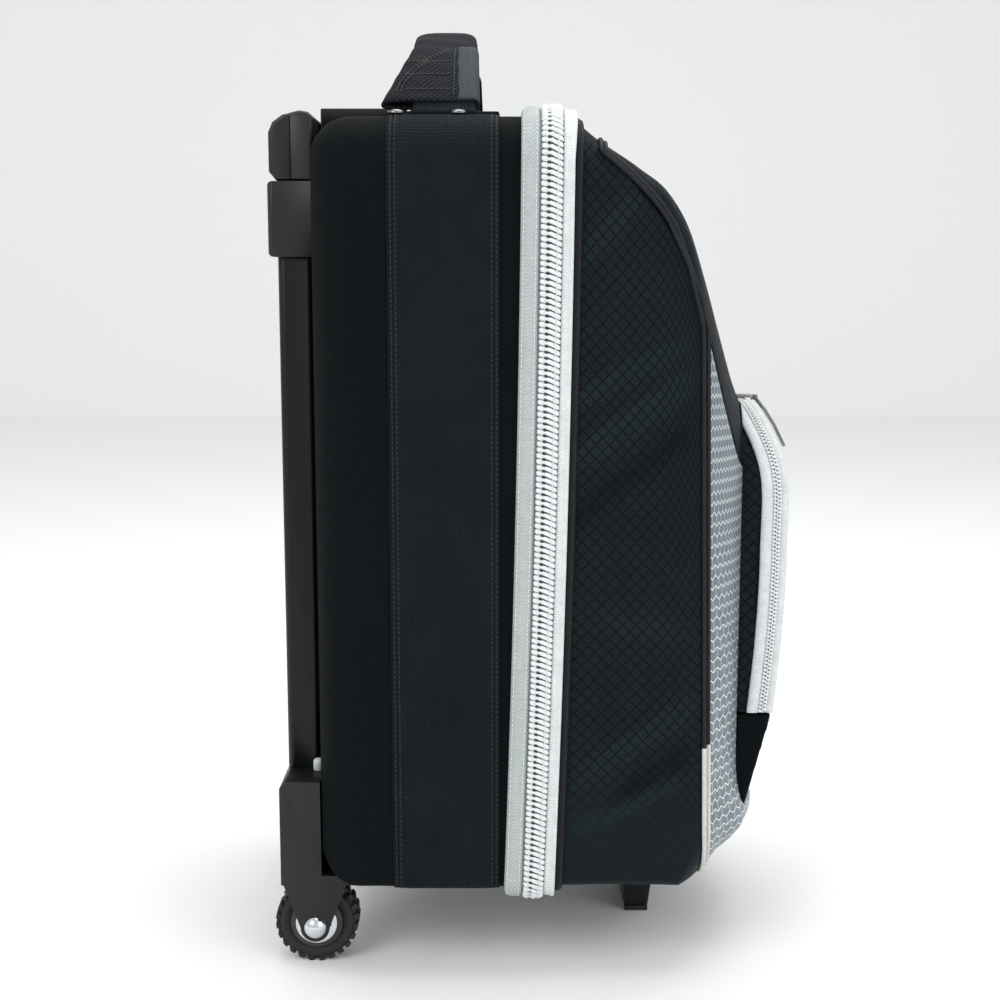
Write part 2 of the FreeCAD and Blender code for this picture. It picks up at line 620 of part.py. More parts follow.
# ---------------------------------------------------------------- pocket
def pocket_front(shift):
    """The pocket's bulging front line in X and Z, moved back by shift and closed well behind."""
    x = X_FRONT - shift
    z0, z1 = POCKET_Z
    low = V(x - 7.0, 0, z0)
    belly = V(x, 0, z0 + 0.55 * (z1 - z0))
    high = V(x - 17.0, 0, z1)
    curve = Part.BSplineCurve()
    curve.interpolate([low, V(x - 2.2, 0, z0 + 0.25 * (z1 - z0)), belly,
                       V(x - 3.2, 0, z0 + 0.84 * (z1 - z0)), high])
    back = SPLIT_MID + 60.0
    sides = [Part.LineSegment(high, V(back, 0, z1)), Part.LineSegment(V(back, 0, z1), V(back, 0, z0)),
             Part.LineSegment(V(back, 0, z0), low)]
    wire = Part.Wire([curve.toShape()] + [s.toShape() for s in sides])
    face = Part.Face(wire)
    face.translate(V(0, -200, 0))
    return face.extrude(V(0, 400, 0))


def pocket_column(inset):
    """The pocket's arched outline in Y and Z, pushed forward."""
    half = POCKET_HALF - inset
    z0 = POCKET_Z[0] + inset
    z1 = POCKET_Z[1] - inset
    block = box(SPLIT_MID + 60.0, X_FRONT + 40.0, -half, half, z0, z1)
    lengthwise = [e for e in block.Edges if abs(e.tangentAt(e.FirstParameter).x) > 0.9]
    shoulders = [e for e in lengthwise if e.CenterOfMass.z > z1 - 1]
    return block.makeFillet(POCKET_CORNER - inset, shoulders)


def pocket_gusset():
    """The pocket's side wall, standing on the lid's crown and open to the front."""
    wall = pocket_column(0.0).cut(pocket_column(POCKET_WALL))
    return wall.common(pocket_front(POCKET_FLAP_T + BODY_GAP)).cut(LID)


def pocket_flap():
    """The pocket's front, which folds down about its lower edge."""
    body = pocket_column(0.0).common(pocket_front(0.0)).cut(pocket_front(POCKET_FLAP_T))
    hollow = pocket_column(POCKET_WALL).common(pocket_front(POCKET_WALL))
    return body.cut(hollow).cut(lid_block(-2 * BODY_GAP))


def pocket_zip(shift0, shift1, rise):
    """A raised strip round the pocket's sides and top, along its front edge."""
    ring = pocket_column(-rise).cut(pocket_column(0.0))
    ring = ring.common(pocket_front(shift0)).cut(pocket_front(shift1))
    return ring.cut(lid_block(-2 * BODY_GAP)).common(box(-400, 400, -200, 200, POCKET_Z[0] + 2.0, 600))


def pocket_toe():
    """A padded twill wedge under the pocket, sewn to the crown."""
    x1 = X_FRONT - 7.5
    z1 = POCKET_Z[0] - BODY_GAP
    wedge = prism_y([(SPLIT_MID + 90, z1), (x1, z1), (CROWN_X + 1.5, TOE_BOTTOM),
                     (SPLIT_MID + 90, TOE_BOTTOM)], -POCKET_HALF + 1.0, POCKET_HALF - 1.0)
    return wedge.cut(LID)


PULLER_Y = -12.0
EYE_X = X_FRONT - 12.5
EYE_Z = POCKET_Z[1] + 2.8 + BODY_GAP


def pocket_slider():
    """The pocket zipper's slider on its top run, with an eye for the puller at the front."""
    x = EYE_X - 5.5
    z = EYE_Z + 0.2
    plate = box(x - 10.0, x + 3.0, PULLER_Y - 8.0, PULLER_Y + 8.0, z, z + 1.8)
    nose = box(x, x + 5.0, PULLER_Y - 1.5, PULLER_Y + 1.5, z, z + 1.8)
    lug = box(x + 3.0, x + 8.0, PULLER_Y - 1.5, PULLER_Y + 1.5, z - 2.2, z + 1.8)
    eye = rod_y(1.1, x + 5.5, z - 0.2, PULLER_Y - 5, PULLER_Y + 5)
    return plate.multiFuse([nose, lug]).cut(eye).removeSplitter()


def pocket_puller():
    """A long stamped puller that hangs from the slider and curves over the pocket's front."""
    pin = rod_y(1.05, EYE_X, EYE_Z, PULLER_Y - 3.6, PULLER_Y + 3.6)
    tip = X_FRONT + PULLER_REACH
    outline = [(EYE_X + 0.8, EYE_Z + 1.6), (EYE_X + 9.0, EYE_Z - 9.0), (tip - 8.0, EYE_Z - 21.0),
               (tip, EYE_Z - 37.0), (tip - 1.8, EYE_Z - 37.8), (tip - 9.6, EYE_Z - 22.2),
               (EYE_X + 7.4, EYE_Z - 10.4), (EYE_X - 0.8, EYE_Z - 0.6)]
    blade = prism_y(outline, PULLER_Y - 3.6, PULLER_Y + 3.6)
    slot = box(EYE_X - 5, EYE_X + 6.5, PULLER_Y - 2.0, PULLER_Y + 2.0, EYE_Z - 9.0, EYE_Z + 5)
    return blade.cut(slot).fuse(pin).removeSplitter()


def top_tab():
    """A folded webbing tab sewn across the sloping top of the lid."""
    x0 = SPLIT_MID + 21.5
    tab = box(0, 19.0, -13.0, 13.0, 0, 4.0)
    tab.rotate(V(0, 0, 0), V(0, 1, 0), 40.0)
    tab.translate(V(x0, 0, TOP - 4.0))
    return tab.cut(LID).cut(PIPING)


def front_foot():
    """A moulded foot under the lid that levels the bag with its wheels."""
    x = SPLIT_MID + FOOT_SETBACK
    sole = 4.0
    tx, ty = FOOT_TIP
    rx, ry = FOOT_ROOT
    low = Part.makePolygon([V(x + a * tx / 2, b * ty / 2, sole) for a, b in RECT])
    high = Part.makePolygon([V(x + a * rx / 2, b * ry / 2, FLOOR_GAP - 4.0) for a, b in RECT])
    body = Part.makeLoft([low, high], True, True)
    flange = box(x - rx / 2 - 6, x + rx / 2 + 6, -ry / 2 - 12, ry / 2 + 12, FLOOR_GAP - 4.0, FLOOR_GAP)
    return body.fuse(flange).cut(LID).removeSplitter()


RECT = ((-1, -1), (1, -1), (1, 1), (-1, 1), (-1, -1))


def foot_sole():
    x = SPLIT_MID + FOOT_SETBACK
    return box(x - FOOT_TIP[0] / 2, x + FOOT_TIP[0] / 2, -FOOT_TIP[1] / 2, FOOT_TIP[1] / 2, 0, 4.0)


def foot_screws():
    x = SPLIT_MID + FOOT_SETBACK
    heads = []
    for sign in (NEAR, FAR):
        y = sign * (FOOT_ROOT[1] / 2 + 6.0)
        heads.append(rod_z(3.4, x, y, FLOOR_GAP - 5.8, FLOOR_GAP - 4.0))
    return Part.makeCompound(heads)


# ---------------------------------------------------------------- build every node
os.makedirs("parts", exist_ok=True)

WEB_NEAR = webbing(NEAR)
WEB_FAR = webbing(FAR)
STRAP = handle_strap()
GRIP = grip_whole()
LID_WALL = lid_wall()
PIPING = piping_ring()
PALE_ZONE = box(-400, 400, -400, 400, FLOOR_GAP - 20.0, PALE_PIPING_TOP)

write("rear_shell", rear_shell())
write("back_board", back_board())
write("base_board", base_board())
write("ball_cradles", Part.makeCompound([cradle(FLOOR_GAP + WALL + BOARD_T, BALL_LOW_Z),
                                         cradle(SHELF_Z + SHELF_T, BALL_HIGH_Z)]))
write("ball_shelf", shelf())
write("webbing_near", WEB_NEAR)
write("webbing_far", WEB_FAR)
write("handle_sleeve", handle_sleeve().cut(STRAP))
write("handle_strap", STRAP)
write("strap_rivets", strap_rivets())
write("top_bracket", top_bracket())
write("housing_tie_bar", tie_bar())
write("tube_plugs", tube_plugs())
write("chassis_screws", chassis_screws())
write("zip_tape_rear", zip_ring(TAPE_RISE, -ZIP_REAR_W, -COIL_HALF))
write("zip_coil_rear", zip_ring(COIL_RISE, -COIL_HALF, -BODY_GAP / 2, ZIP_END_Y))
write("hinge_strip_rear", hinge_strip(-HINGE_REAR_W, -BODY_GAP / 2))
write("main_slider", slider_block())
write("main_pull", main_pull())

for place, sign in SIDES:
    write("lock_housing_" + place, lock_housing(sign))
    write("outer_tube_" + place, tube_stage(0, SOCKET_Z, HOUSING_Z[1] - 4.0, sign))
    write("middle_tube_" + place, tube_stage(1, *MID_Z, sign))
    write("inner_tube_" + place, tube_stage(2, *INNER_Z, sign))
    write("wheel_chassis_" + place, wheel_chassis(sign))
    write("axle_" + place, axle(sign))
    write("hub_" + place, hub(sign))
    write("hub_disc_" + place, hub_disc(sign))
    write("tyre_" + place, tyre(sign))

write("grip_rear_half", grip_half(GRIP, True))
write("grip_front_half", grip_half(GRIP, False))
write("release_button", release_button())
write("button_spring", button_spring())

write("lid_gusset", LID_WALL.common(BEHIND_PIPE))
write("lid_front_panel", LID_WALL.cut(BEHIND_PIPE))
write("silver_panels", Part.makeCompound([silver_panel(sign) for place, sign in SIDES]))
write("piping_dark", PIPING.cut(PALE_ZONE))
write("piping_pale", PIPING.common(PALE_ZONE))
write("zip_tape_front", zip_ring(TAPE_RISE, COIL_HALF, ZIP_FRONT_W))
write("zip_coil_front", zip_ring(COIL_RISE, BODY_GAP / 2, COIL_HALF, ZIP_END_Y))
write("hinge_strip_front", hinge_strip(BODY_GAP / 2, HINGE_FRONT_W))
write("top_tab", top_tab())
write("front_foot", front_foot())
write("foot_sole", foot_sole())
write("foot_screws", foot_screws())
write("pocket_gusset", pocket_gusset())
write("pocket_toe", pocket_toe())
write("pocket_zip_gusset", pocket_zip(POCKET_FLAP_T + BODY_GAP, POCKET_FLAP_T + 8.0, 2.6))
write("pocket_flap", pocket_flap())
write("pocket_zip_flap", pocket_zip(0.5, POCKET_FLAP_T, 2.6))
write("pocket_slider", pocket_slider())
write("pocket_puller", pocket_puller())
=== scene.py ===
import math
import bmesh
import bpy
import numpy as np
from mathutils import Matrix, Vector


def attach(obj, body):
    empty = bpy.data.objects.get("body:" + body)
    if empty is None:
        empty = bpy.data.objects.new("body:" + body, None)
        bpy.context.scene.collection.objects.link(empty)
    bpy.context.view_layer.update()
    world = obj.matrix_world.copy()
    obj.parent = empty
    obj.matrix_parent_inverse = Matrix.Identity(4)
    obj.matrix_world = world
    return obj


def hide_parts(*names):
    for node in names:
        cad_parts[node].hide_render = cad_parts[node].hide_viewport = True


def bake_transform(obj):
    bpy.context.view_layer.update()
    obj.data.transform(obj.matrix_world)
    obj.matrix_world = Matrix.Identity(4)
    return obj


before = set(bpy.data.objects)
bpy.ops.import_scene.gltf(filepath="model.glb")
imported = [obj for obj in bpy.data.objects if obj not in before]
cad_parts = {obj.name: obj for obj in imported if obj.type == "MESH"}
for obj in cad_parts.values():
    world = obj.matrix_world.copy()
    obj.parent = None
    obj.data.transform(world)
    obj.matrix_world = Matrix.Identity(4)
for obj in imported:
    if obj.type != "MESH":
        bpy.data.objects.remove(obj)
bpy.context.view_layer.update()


# ------------------------------------------------------------------------------------------------
# Rear shell: the padded box that holds the balls. Black polyester twill over 6 mm foam, cut and
# sewn with rounded edges, open at the front where the zipper tape is stitched on.
HALF_W, FLOOR, TOP, CORNER = 148.4, 66.0, 604.0, 28.0
BACK, SPLIT, LID_D = -156.0, 2.5, 158.0
SHARES = (-0.20, 0.0, 0.12, 0.24, 0.40, 0.54, 0.63, 0.70, 0.79, 0.88, 0.95, 1.0)
SIDE = (0.0, 0.0, 0.0, 0.0, 0.0, 0.0, 0.3, 2.5, 17.0, 42.0, 76.0, 112.0)
DROP = (0.0, 0.0, 2.5, 17.0, 34.0, 52.0, 74.0, 102.0, 141.0, 178.0, 200.0, 214.0)
RISE = (0.0, 0.0, 0.0, 0.0, 0.0, 0.0, 0.0, 1.0, 3.0, 7.0, 20.0, 42.0)
BEND = (28.0, 28.0, 28.0, 24.0, 22.0, 26.0, 38.0, 54.0, 66.0, 66.0, 50.0, 32.0)


def smooth_table(keys, values):
    """A dense, rounded line through the given points, ready for np.interp."""
    k, v = np.array(keys, float), np.array(values, float)
    slope = np.gradient(v, k)
    t = np.linspace(0, 1, 25)[:-1]
    out_k, out_v = [], []
    for i in range(len(k) - 1):
        h = k[i + 1] - k[i]
        out_k.append(k[i] + t * h)
        out_v.append((2 * t ** 3 - 3 * t ** 2 + 1) * v[i] + (t ** 3 - 2 * t ** 2 + t) * h * slope[i]
                     + (3 * t ** 2 - 2 * t ** 3) * v[i + 1] + (t ** 3 - t ** 2) * h * slope[i + 1])
    return np.append(np.concatenate(out_k), k[-1]), np.append(np.concatenate(out_v), v[-1])


TABLES = [smooth_table(SHARES, v) for v in (SIDE, DROP, RISE, BEND)]


def section(x):
    """Half width, underside, top and corner radius of the bag's cross-section at x."""
    e = CORNER - np.sqrt(np.maximum(CORNER ** 2 - np.maximum(CORNER - (x - BACK), 0.0) ** 2, 0.0))
    side, drop, rise, bend = (np.interp((x - SPLIT) / LID_D, *t) for t in TABLES)
    bend = np.where(x < SPLIT, CORNER - e, bend)
    return HALF_W - e - np.maximum(side, 0), FLOOR + e + np.maximum(rise, 0), TOP - e - np.maximum(drop,
            0), bend


def around(side_steps=70, top_steps=34, bend_steps=10):
    """Rows (ay, az, c, s) that walk once round a cross-section from the far side's middle."""
    rows = []
    half = side_steps // 2
    rows += [(1, i / half, 1, 0) for i in range(half)]
    bends = ((1, 1, 0), (-1, 1, 90), (-1, -1, 180), (1, -1, 270))
    for n, (ay, az, start) in enumerate(bends):
        rows += [(ay, az, math.cos(math.radians(start + 90 * i / bend_steps)),
                  math.sin(math.radians(start + 90 * i / bend_steps))) for i in range(bend_steps + 1)]
        if n == 0:
            rows += [(1 - 2 * i / top_steps, 1, 0, 1) for i in range(1, top_steps)]
        if n == 1:
            rows += [(-1, 1 - 2 * i / side_steps, -1, 0) for i in range(1, side_steps)]
        if n == 2:
            rows += [(-1 + 2 * i / top_steps, -1, 0, -1) for i in range(1, top_steps)]
        if n == 3:
            rows += [(1, -1 + i / half, 1, 0) for i in range(1, half)]
    return np.array(rows, float)


def on_skin(x, walk, lift=0.0):
    """Points and outward normals on the bag's skin at x for each row of walk, in millimetres."""
    x = np.asarray(x, float)
    ay, az, c, s = (walk[..., i] for i in range(4))

    def place(at):
        w, low, high, r = section(at)
        tight = np.minimum(r, 13.0 + np.clip((at - 100.0) / 30.0, 0, 1) * 50.0)
        here = np.where((az < 0) | (s < 0), tight, r)
        z0, z1 = low + tight, high - r
        return ay * (w - here) + c * here, (z0 + z1) / 2 + az * (z1 - z0) / 2 + s * here

    y, z = place(x)
    y1, z1 = place(x + 0.2)
    y0, z0 = place(x - 0.2)
    lean = -(c * (y1 - y0) + s * (z1 - z0)) / 0.4
    n = np.stack(np.broadcast_arrays(lean, c, s), -1)
    n = n / np.linalg.norm(n, axis=-1, keepdims=True)
    p = np.stack(np.broadcast_arrays(x, y, z), -1)
    lift = np.asarray(lift, float)
    return p + n * (lift[..., None] if lift.ndim else lift), n


def zip_x(z):
    """Where the zipper's middle runs: leaning forward towards the top, with a slight bow."""
    share = (z - FLOOR) / (TOP - FLOOR)
    return SPLIT + 11.5 * (share - 0.5) + 2.0 * (1 - (2 * share - 1) ** 2) - 1.0


def edge_x(line, walk, offset=0.0):
    """x at which each row of walk meets a line given as x over height."""
    x = np.full(walk.shape[0], SPLIT)
    for _ in range(40):
        z = on_skin(x, walk)[0][:, 2]
        x = 0.5 * x + 0.5 * (line(z) + offset)
    return x


def cloth_uv(p, closed=True):
    """Flat-cut coordinates in metres: along the girth, zero at the near side's middle, and along x."""
    q = np.concatenate([p, p[:, :1]], 1) if closed else p
    girth = np.concatenate([np.zeros((len(p), 1)),
                            np.cumsum(np.linalg.norm(np.diff(q[..., 1:], axis=1), axis=2), 1)], 1)
    near = np.argmin(np.abs(q[..., 2] - 337) + 4 * np.maximum(q[..., 1] + 100, 0), axis=1)
    rows = np.arange(len(p))
    girth = -(girth - girth[rows, near][:, None]) - (337 - q[rows, near, 2])[:, None]
    step = np.linalg.norm(np.diff(q, axis=0), axis=2)
    run = q[0, :, 0] + np.concatenate([np.zeros((1, q.shape[1])), np.cumsum(step, 0)])
    return np.stack([girth, run], -1) * 0.001


def new_object(name, verts, faces, uv=None, smooth=True, fix=True):
    """A mesh object from points in millimetres, its faces turned outwards."""
    me = bpy.data.meshes.new(name)
    me.from_pydata((np.asarray(verts, float) * 0.001).tolist(), [], faces)
    if uv is not None:
        layer = me.uv_layers.new(name="Flat cut")
        layer.data.foreach_set("uv", np.asarray([c for face in uv for c in face], np.float32).ravel())
    obj = bpy.data.objects.new(name, me)
    bpy.context.scene.collection.objects.link(obj)
    if fix:
        bm = bmesh.new()
        bm.from_mesh(me)
        bmesh.ops.recalc_face_normals(bm, faces=bm.faces)
        bm.to_mesh(me)
        bm.free()
    me.polygons.foreach_set("use_smooth", [smooth] * len(me.polygons))
    return obj


def sewn_solid(name, outer, inner, uv, wrap=True, caps=(False, False)):
    """A panel with thickness: outer and inner grids (rows, columns, xyz) joined at their edges."""
    rows, cols = outer.shape[:2]
    verts = np.concatenate([outer.reshape(-1, 3), inner.reshape(-1, 3)])
    faces, uvs = [], []
    shift = rows * cols
    span = cols if wrap else cols - 1
    for i in range(rows - 1):
        for j in range(span):
            k = (j + 1) % cols
            quad = (i * cols + j, i * cols + k, (i + 1) * cols + k, (i + 1) * cols + j)
            coords = (uv[i, j], uv[i, j + 1], uv[i + 1, j + 1], uv[i + 1, j])
            faces.append(quad)
            uvs.append(coords)
            faces.append(tuple(shift + q for q in reversed(quad)))
            uvs.append(tuple(reversed(coords)))
    for i, capped in ((0, caps[0]), (rows - 1, caps[1])):
        if capped:
            for base in (0, shift):
                faces.append(tuple(base + i * cols + j for j in range(cols)))
                uvs.append(tuple((outer[i, j, 2] * 0.001, outer[i, j, 1] * 0.001) for j in range(cols)))
        else:
            for j in range(span):
                k = (j + 1) % cols
                faces.append((i * cols + j, i * cols + k, shift + i * cols + k, shift + i * cols + j))
                uvs.append((uv[i, j], uv[i, j + 1], uv[i, j + 1], uv[i, j]))
    if not wrap:
        for j in (0, cols - 1):
            for i in range(rows - 1):
                faces.append((i * cols + j, (i + 1) * cols + j, shift + (i + 1) * cols + j,
                              shift + i * cols + j))
                uvs.append((uv[i, j], uv[i + 1, j], uv[i + 1, j], uv[i, j]))
    return new_object(name, verts, faces, uvs)


def fold(p, start, end, width, height):
    """Height of a soft crease that runs from start to end in x and z."""
    a, b = np.array(start, float), np.array(end, float)
    q = p[..., (0, 2)]
    t = np.clip(((q - a) @ (b - a)) / ((b - a) @ (b - a)), 0, 1)
    gap = np.linalg.norm(q - (a + t[..., None] * (b - a)), axis=-1)
    return height * np.exp(-(gap / width) ** 2) * np.sin(np.pi * np.clip(t, 0.04, 0.96)) ** 0.5


def colour(code):
    """A colour from its hex code."""
    parts = [int(code[i:i + 2], 16) / 255 for i in (1, 3, 5)]
    return tuple(c / 12.92 if c <= 0.04045 else ((c + 0.055) / 1.055) ** 2.4 for c in parts) + (1.0,)


def add(tree, kind, settings=None, **sockets):
    """One node; a socket is named, or given by its number as i0, i1, and takes a value or a link."""
    made = tree.nodes.new(kind)
    for key, value in (settings or {}).items():
        setattr(made, key, value)
    for key, value in sockets.items():
        socket = made.inputs[int(key[1:])] if key[1:].isdigit() else made.inputs[key.replace("_", " ")]
        if isinstance(value, bpy.types.NodeSocket):
            tree.links.new(value, socket)
        else:
            socket.default_value = value
    return made


def calc(tree, operation, a, b=0.0, c=0.0):
    """The result of one sum on the shader's numbers."""
    return add(tree, "ShaderNodeMath", {"operation": operation}, i0=a, i1=b, i2=c).outputs[0]


def blank(name, rough=0.6, metal=0.0, tone="#808080", **more):
    """A new material with its node tree and surface shader."""
    made = bpy.data.materials.new(name)
    made.use_nodes = True
    tree = made.node_tree
    surface = tree.nodes["Principled BSDF"]
    surface.inputs["Base Color"].default_value = colour(tone)
    surface.inputs["Roughness"].default_value = rough
    surface.inputs["Metallic"].default_value = metal
    for key, value in more.items():
        surface.inputs[key.replace("_", " ")].default_value = value
    return made, tree, surface


def mixed(tree, factor, low, high):
    """A blend between two colours, each a hex code or a link."""
    low, high = (colour(c) if isinstance(c, str) else c for c in (low, high))
    return add(tree, "ShaderNodeMix", {"data_type": "RGBA"}, i0=factor, i6=low, i7=high).outputs[2]


def bumped(tree, surface, height, distance, strength=1.0):
    """Raises the surface by a height pattern."""
    bump = add(tree, "ShaderNodeBump", Strength=strength, Distance=distance, Height=height)
    tree.links.new(bump.outputs[0], surface.inputs["Normal"])


def flat_cut(tree):
    """The cloth's own two coordinates, in metres."""
    parts = add(tree, "ShaderNodeSeparateXYZ", Vector=add(tree, "ShaderNodeUVMap").outputs[0])
    return parts.outputs[0], parts.outputs[1]


def twill_cloth(name, dark, light, pitch=0.0016, rough=0.78, depth=0.0004):
    """Woven polyester: fine diagonal ribs, a little uneven."""
    made, tree, surface = blank(name, rough, Specular_IOR_Level=0.1)
    u, v = flat_cut(tree)
    phase = calc(tree, "MULTIPLY", calc(tree, "ADD", u, v), 2 * math.pi * 0.7071 / pitch)
    rib = calc(tree, "MULTIPLY_ADD", calc(tree, "SINE", phase), 0.5, 0.5)
    spot = add(tree, "ShaderNodeTexCoord").outputs["Object"]
    grain = add(tree, "ShaderNodeTexNoise", Vector=spot, Scale=420.0, Detail=3.0).outputs[0]
    cloud = add(tree, "ShaderNodeTexNoise", Vector=spot, Scale=9.0, Detail=3.0).outputs[0]
    level = calc(tree, "MULTIPLY_ADD", rib, 0.45, calc(tree, "MULTIPLY", grain, 0.35))
    level = calc(tree, "ADD", level, calc(tree, "MULTIPLY_ADD", cloud, 0.5, -0.25))
    tree.links.new(mixed(tree, level, dark, light), surface.inputs["Base Color"])
    height = calc(tree, "MULTIPLY_ADD", cloud, 3.0, calc(tree, "ADD", rib, grain))
    bumped(tree, surface, height, depth, 0.7)
    return made


# Black polyester twill
black_twill = twill_cloth("Black polyester twill", "#020507", "#0a1013")

walk = around()
turns = np.linspace(0.04, 1, 12)
front = edge_x(zip_x, walk, -0.2)
shares = np.concatenate([np.zeros(9), 28.0 * (1 - np.cos(turns * np.pi / 2))])
cap_scale = np.concatenate([np.linspace(0.05, 0.97, 9), np.ones(12)])
rest = np.linspace(0, 1, 26)[1:]
xs = np.array([np.full(len(walk), BACK + s) for s in np.maximum(shares, 0.02)]
              + [(BACK + 28.0) * (1 - t) + front * t for t in rest])
outer, normal = on_skin(xs, walk[None])
scale = np.concatenate([cap_scale, np.ones(25)])[:, None]
outer[..., 1] *= scale
outer[..., 2] = 337 + (outer[..., 2] - 337) * scale
normal[:9] = (-1, 0, 0)
inner = outer - normal * 6.0
puff = 1.8 * np.clip(1 - cap_scale, 0, 1)[:, None] * np.ones(len(walk))
outer[:21, :, 0] -= puff
wave = 0.5 * np.sin(outer[..., 2] / 37.0 + outer[..., 0] / 21.0) * np.sin(outer[..., 0] / 33.0 + 1.0)
wave = wave * np.clip((outer[..., 0] - BACK - 10) / 30, 0, 1) * np.clip((front[None] - outer[..., 0]) / 12,
        0, 1)
outer += normal * wave[..., None]
rear_shell = sewn_solid("Rear_shell", outer, inner, cloth_uv(outer), caps=(True, False))
rear_shell.data.materials.append(black_twill)
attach(rear_shell, "rear_body")
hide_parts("rear_shell")


# ------------------------------------------------------------------------------------------------
# Shoulder webbing: one 75 mm ribbed nylon band on each side, laid from the underside up and over
# the shoulder, and sewn down with two rows of thread along each edge.
def path_steps(points, normals, step):
    """Evenly spaced places along a line: positions, directions and normals."""
    length = np.concatenate([[0], np.cumsum(np.linalg.norm(np.diff(points, axis=0), axis=1))])
    at = np.arange(step / 2, length[-1], step)
    p = np.stack([np.interp(at, length, points[:, i]) for i in range(3)], 1)
    d = np.stack([np.interp(at + 0.5, length, points[:, i]) - np.interp(at - 0.5, length,
            points[:, i]) for i in range(3)], 1)
    n = np.stack([np.interp(at, length, normals[:, i]) for i in range(3)], 1)
    return p, d, n


def facing(along, normal):
    """Turns that lay a piece's x along the line and its z along the normal."""
    out = []
    for d, n in zip(along, normal):
        x = Vector(d).normalized()
        y = Vector(n).cross(x).normalized()
        z = x.cross(y)
        out.append(Matrix((x, y, z)).transposed().to_euler())
    return np.array([list(e) for e in out])


def repeater():
    """The node group that sets a piece on every point, turned by the point's own turn."""
    tree = bpy.data.node_groups.new("Piece on every point", "GeometryNodeTree")
    for name, kind in (("Geometry", "NodeSocketGeometry"), ("Piece", "NodeSocketObject"),
                       ("Finish", "NodeSocketMaterial"), ("Unevenness", "NodeSocketFloat"), ("Seed",
                               "NodeSocketInt")):
        tree.interface.new_socket(name, in_out="INPUT", socket_type=kind)
    tree.interface.new_socket("Geometry", in_out="OUTPUT", socket_type="NodeSocketGeometry")
    given = add(tree, "NodeGroupInput")
    turn = add(tree, "GeometryNodeInputNamedAttribute", {"data_type": "FLOAT_VECTOR"}, Name="turn")
    piece = add(tree, "GeometryNodeObjectInfo", Object=given.outputs["Piece"])
    low = calc(tree, "SUBTRACT", 1.0, given.outputs["Unevenness"])
    high = calc(tree, "ADD", 1.0, given.outputs["Unevenness"])
    size = add(tree, "FunctionNodeRandomValue", {"data_type": "FLOAT"}, i2=low, i3=high,
               Seed=given.outputs["Seed"])
    spread = add(tree, "GeometryNodeInstanceOnPoints", Points=given.outputs["Geometry"],
                 Instance=piece.outputs["Geometry"],
                 Rotation=add(tree, "FunctionNodeEulerToRotation",
                              Euler=turn.outputs["Attribute"]).outputs[0],
                 Scale=size.outputs[1])
    real = add(tree, "GeometryNodeRealizeInstances", Geometry=spread.outputs[0])
    finished = add(tree, "GeometryNodeSetMaterial", Geometry=real.outputs[0],
                   Material=given.outputs["Finish"])
    add(tree, "NodeGroupOutput", Geometry=finished.outputs[0])
    return tree


repeat_tree = repeater()


def repeated(name, spots, turned, piece, finish, unevenness=0.03, seed=4):
    """One plain mesh with a copy of piece at every spot."""
    me = bpy.data.meshes.new(name)
    me.from_pydata((np.asarray(spots) * 0.001).tolist(), [], [])
    attribute = me.attributes.new("turn", "FLOAT_VECTOR", "POINT")
    attribute.data.foreach_set("vector", np.asarray(turned, np.float32).ravel())
    obj = bpy.data.objects.new(name, me)
    bpy.context.scene.collection.objects.link(obj)
    modifier = obj.modifiers.new("Repeat", "NODES")
    modifier.node_group = repeat_tree
    values = {"Piece": piece, "Finish": finish, "Unevenness": unevenness, "Seed": seed}
    for item in repeat_tree.interface.items_tree:
        if item.item_type == "SOCKET" and item.in_out == "INPUT" and item.name in values:
            modifier[item.identifier] = values[item.name]
    piece.hide_render = False
    graph = bpy.context.evaluated_depsgraph_get()
    plain = bpy.data.meshes.new_from_object(obj.evaluated_get(graph))
    obj.modifiers.clear()
    obj.data = plain
    bpy.data.objects.remove(piece)
    return obj


def capsule(name, length, width, height, sides=8):
    """A small rounded bar along x, resting on z = 0."""
    spots, faces = [], []
    stops = ((-0.5, 0.3), (-0.42, 0.75), (-0.2, 1.0), (0.2, 1.0), (0.42, 0.75), (0.5, 0.3))
    for along, fat in stops:
        spots += [(along * length, 0.5 * width * fat * math.cos(2 * math.pi * i / sides),
                   0.5 * height * fat * math.sin(2 * math.pi * i / sides)) for i in range(sides)]
    for r in range(len(stops) - 1):
        faces += [(r * sides + i, r * sides + (i + 1) % sides, (r + 1) * sides + (i + 1) % sides,
                   (r + 1) * sides + i)
                  for i in range(sides)]
    faces += [tuple(range(sides)), tuple((len(stops) - 1) * sides + i for i in range(sides))]
    return new_object(name, spots, faces)


def stitching(name, lines, pitch, width, finish, body):
    """Rows of thread along lines of (points, normals), one mesh on one body."""
    places = [path_steps(p, n, pitch) for p, n in lines]
    p, d, n = (np.concatenate([place[i] for place in places]) for i in range(3))
    piece = capsule(name + " stitch", pitch * 0.78, width, width * 0.9)
    row = repeated(name, p, facing(d, n), piece, finish)
    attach(row, body)
    return row


# Ribbed black nylon webbing
nylon_black, tree, surface = blank("Ribbed black nylon webbing", 0.7, tone="#16181b",
                                   Specular_IOR_Level=0.14)
u, v = flat_cut(tree)
weave = calc(tree, "SINE", calc(tree, "MULTIPLY", v, 2 * math.pi / 0.0024))
cloud = add(tree, "ShaderNodeTexNoise", Vector=add(tree, "ShaderNodeTexCoord").outputs["Object"],
            Scale=30.0, Detail=4.0).outputs[0]
level = calc(tree, "MULTIPLY_ADD", weave, 0.25, calc(tree, "MULTIPLY", cloud, 0.9))
tree.links.new(mixed(tree, level, "#030709", "#12191e"), surface.inputs["Base Color"])
bumped(tree, surface, calc(tree, "ADD", weave, cloud), 0.0003, 0.6)

# Black bonded polyester thread
thread_black = blank("Black bonded polyester thread", 0.45, tone="#17191c")[0]

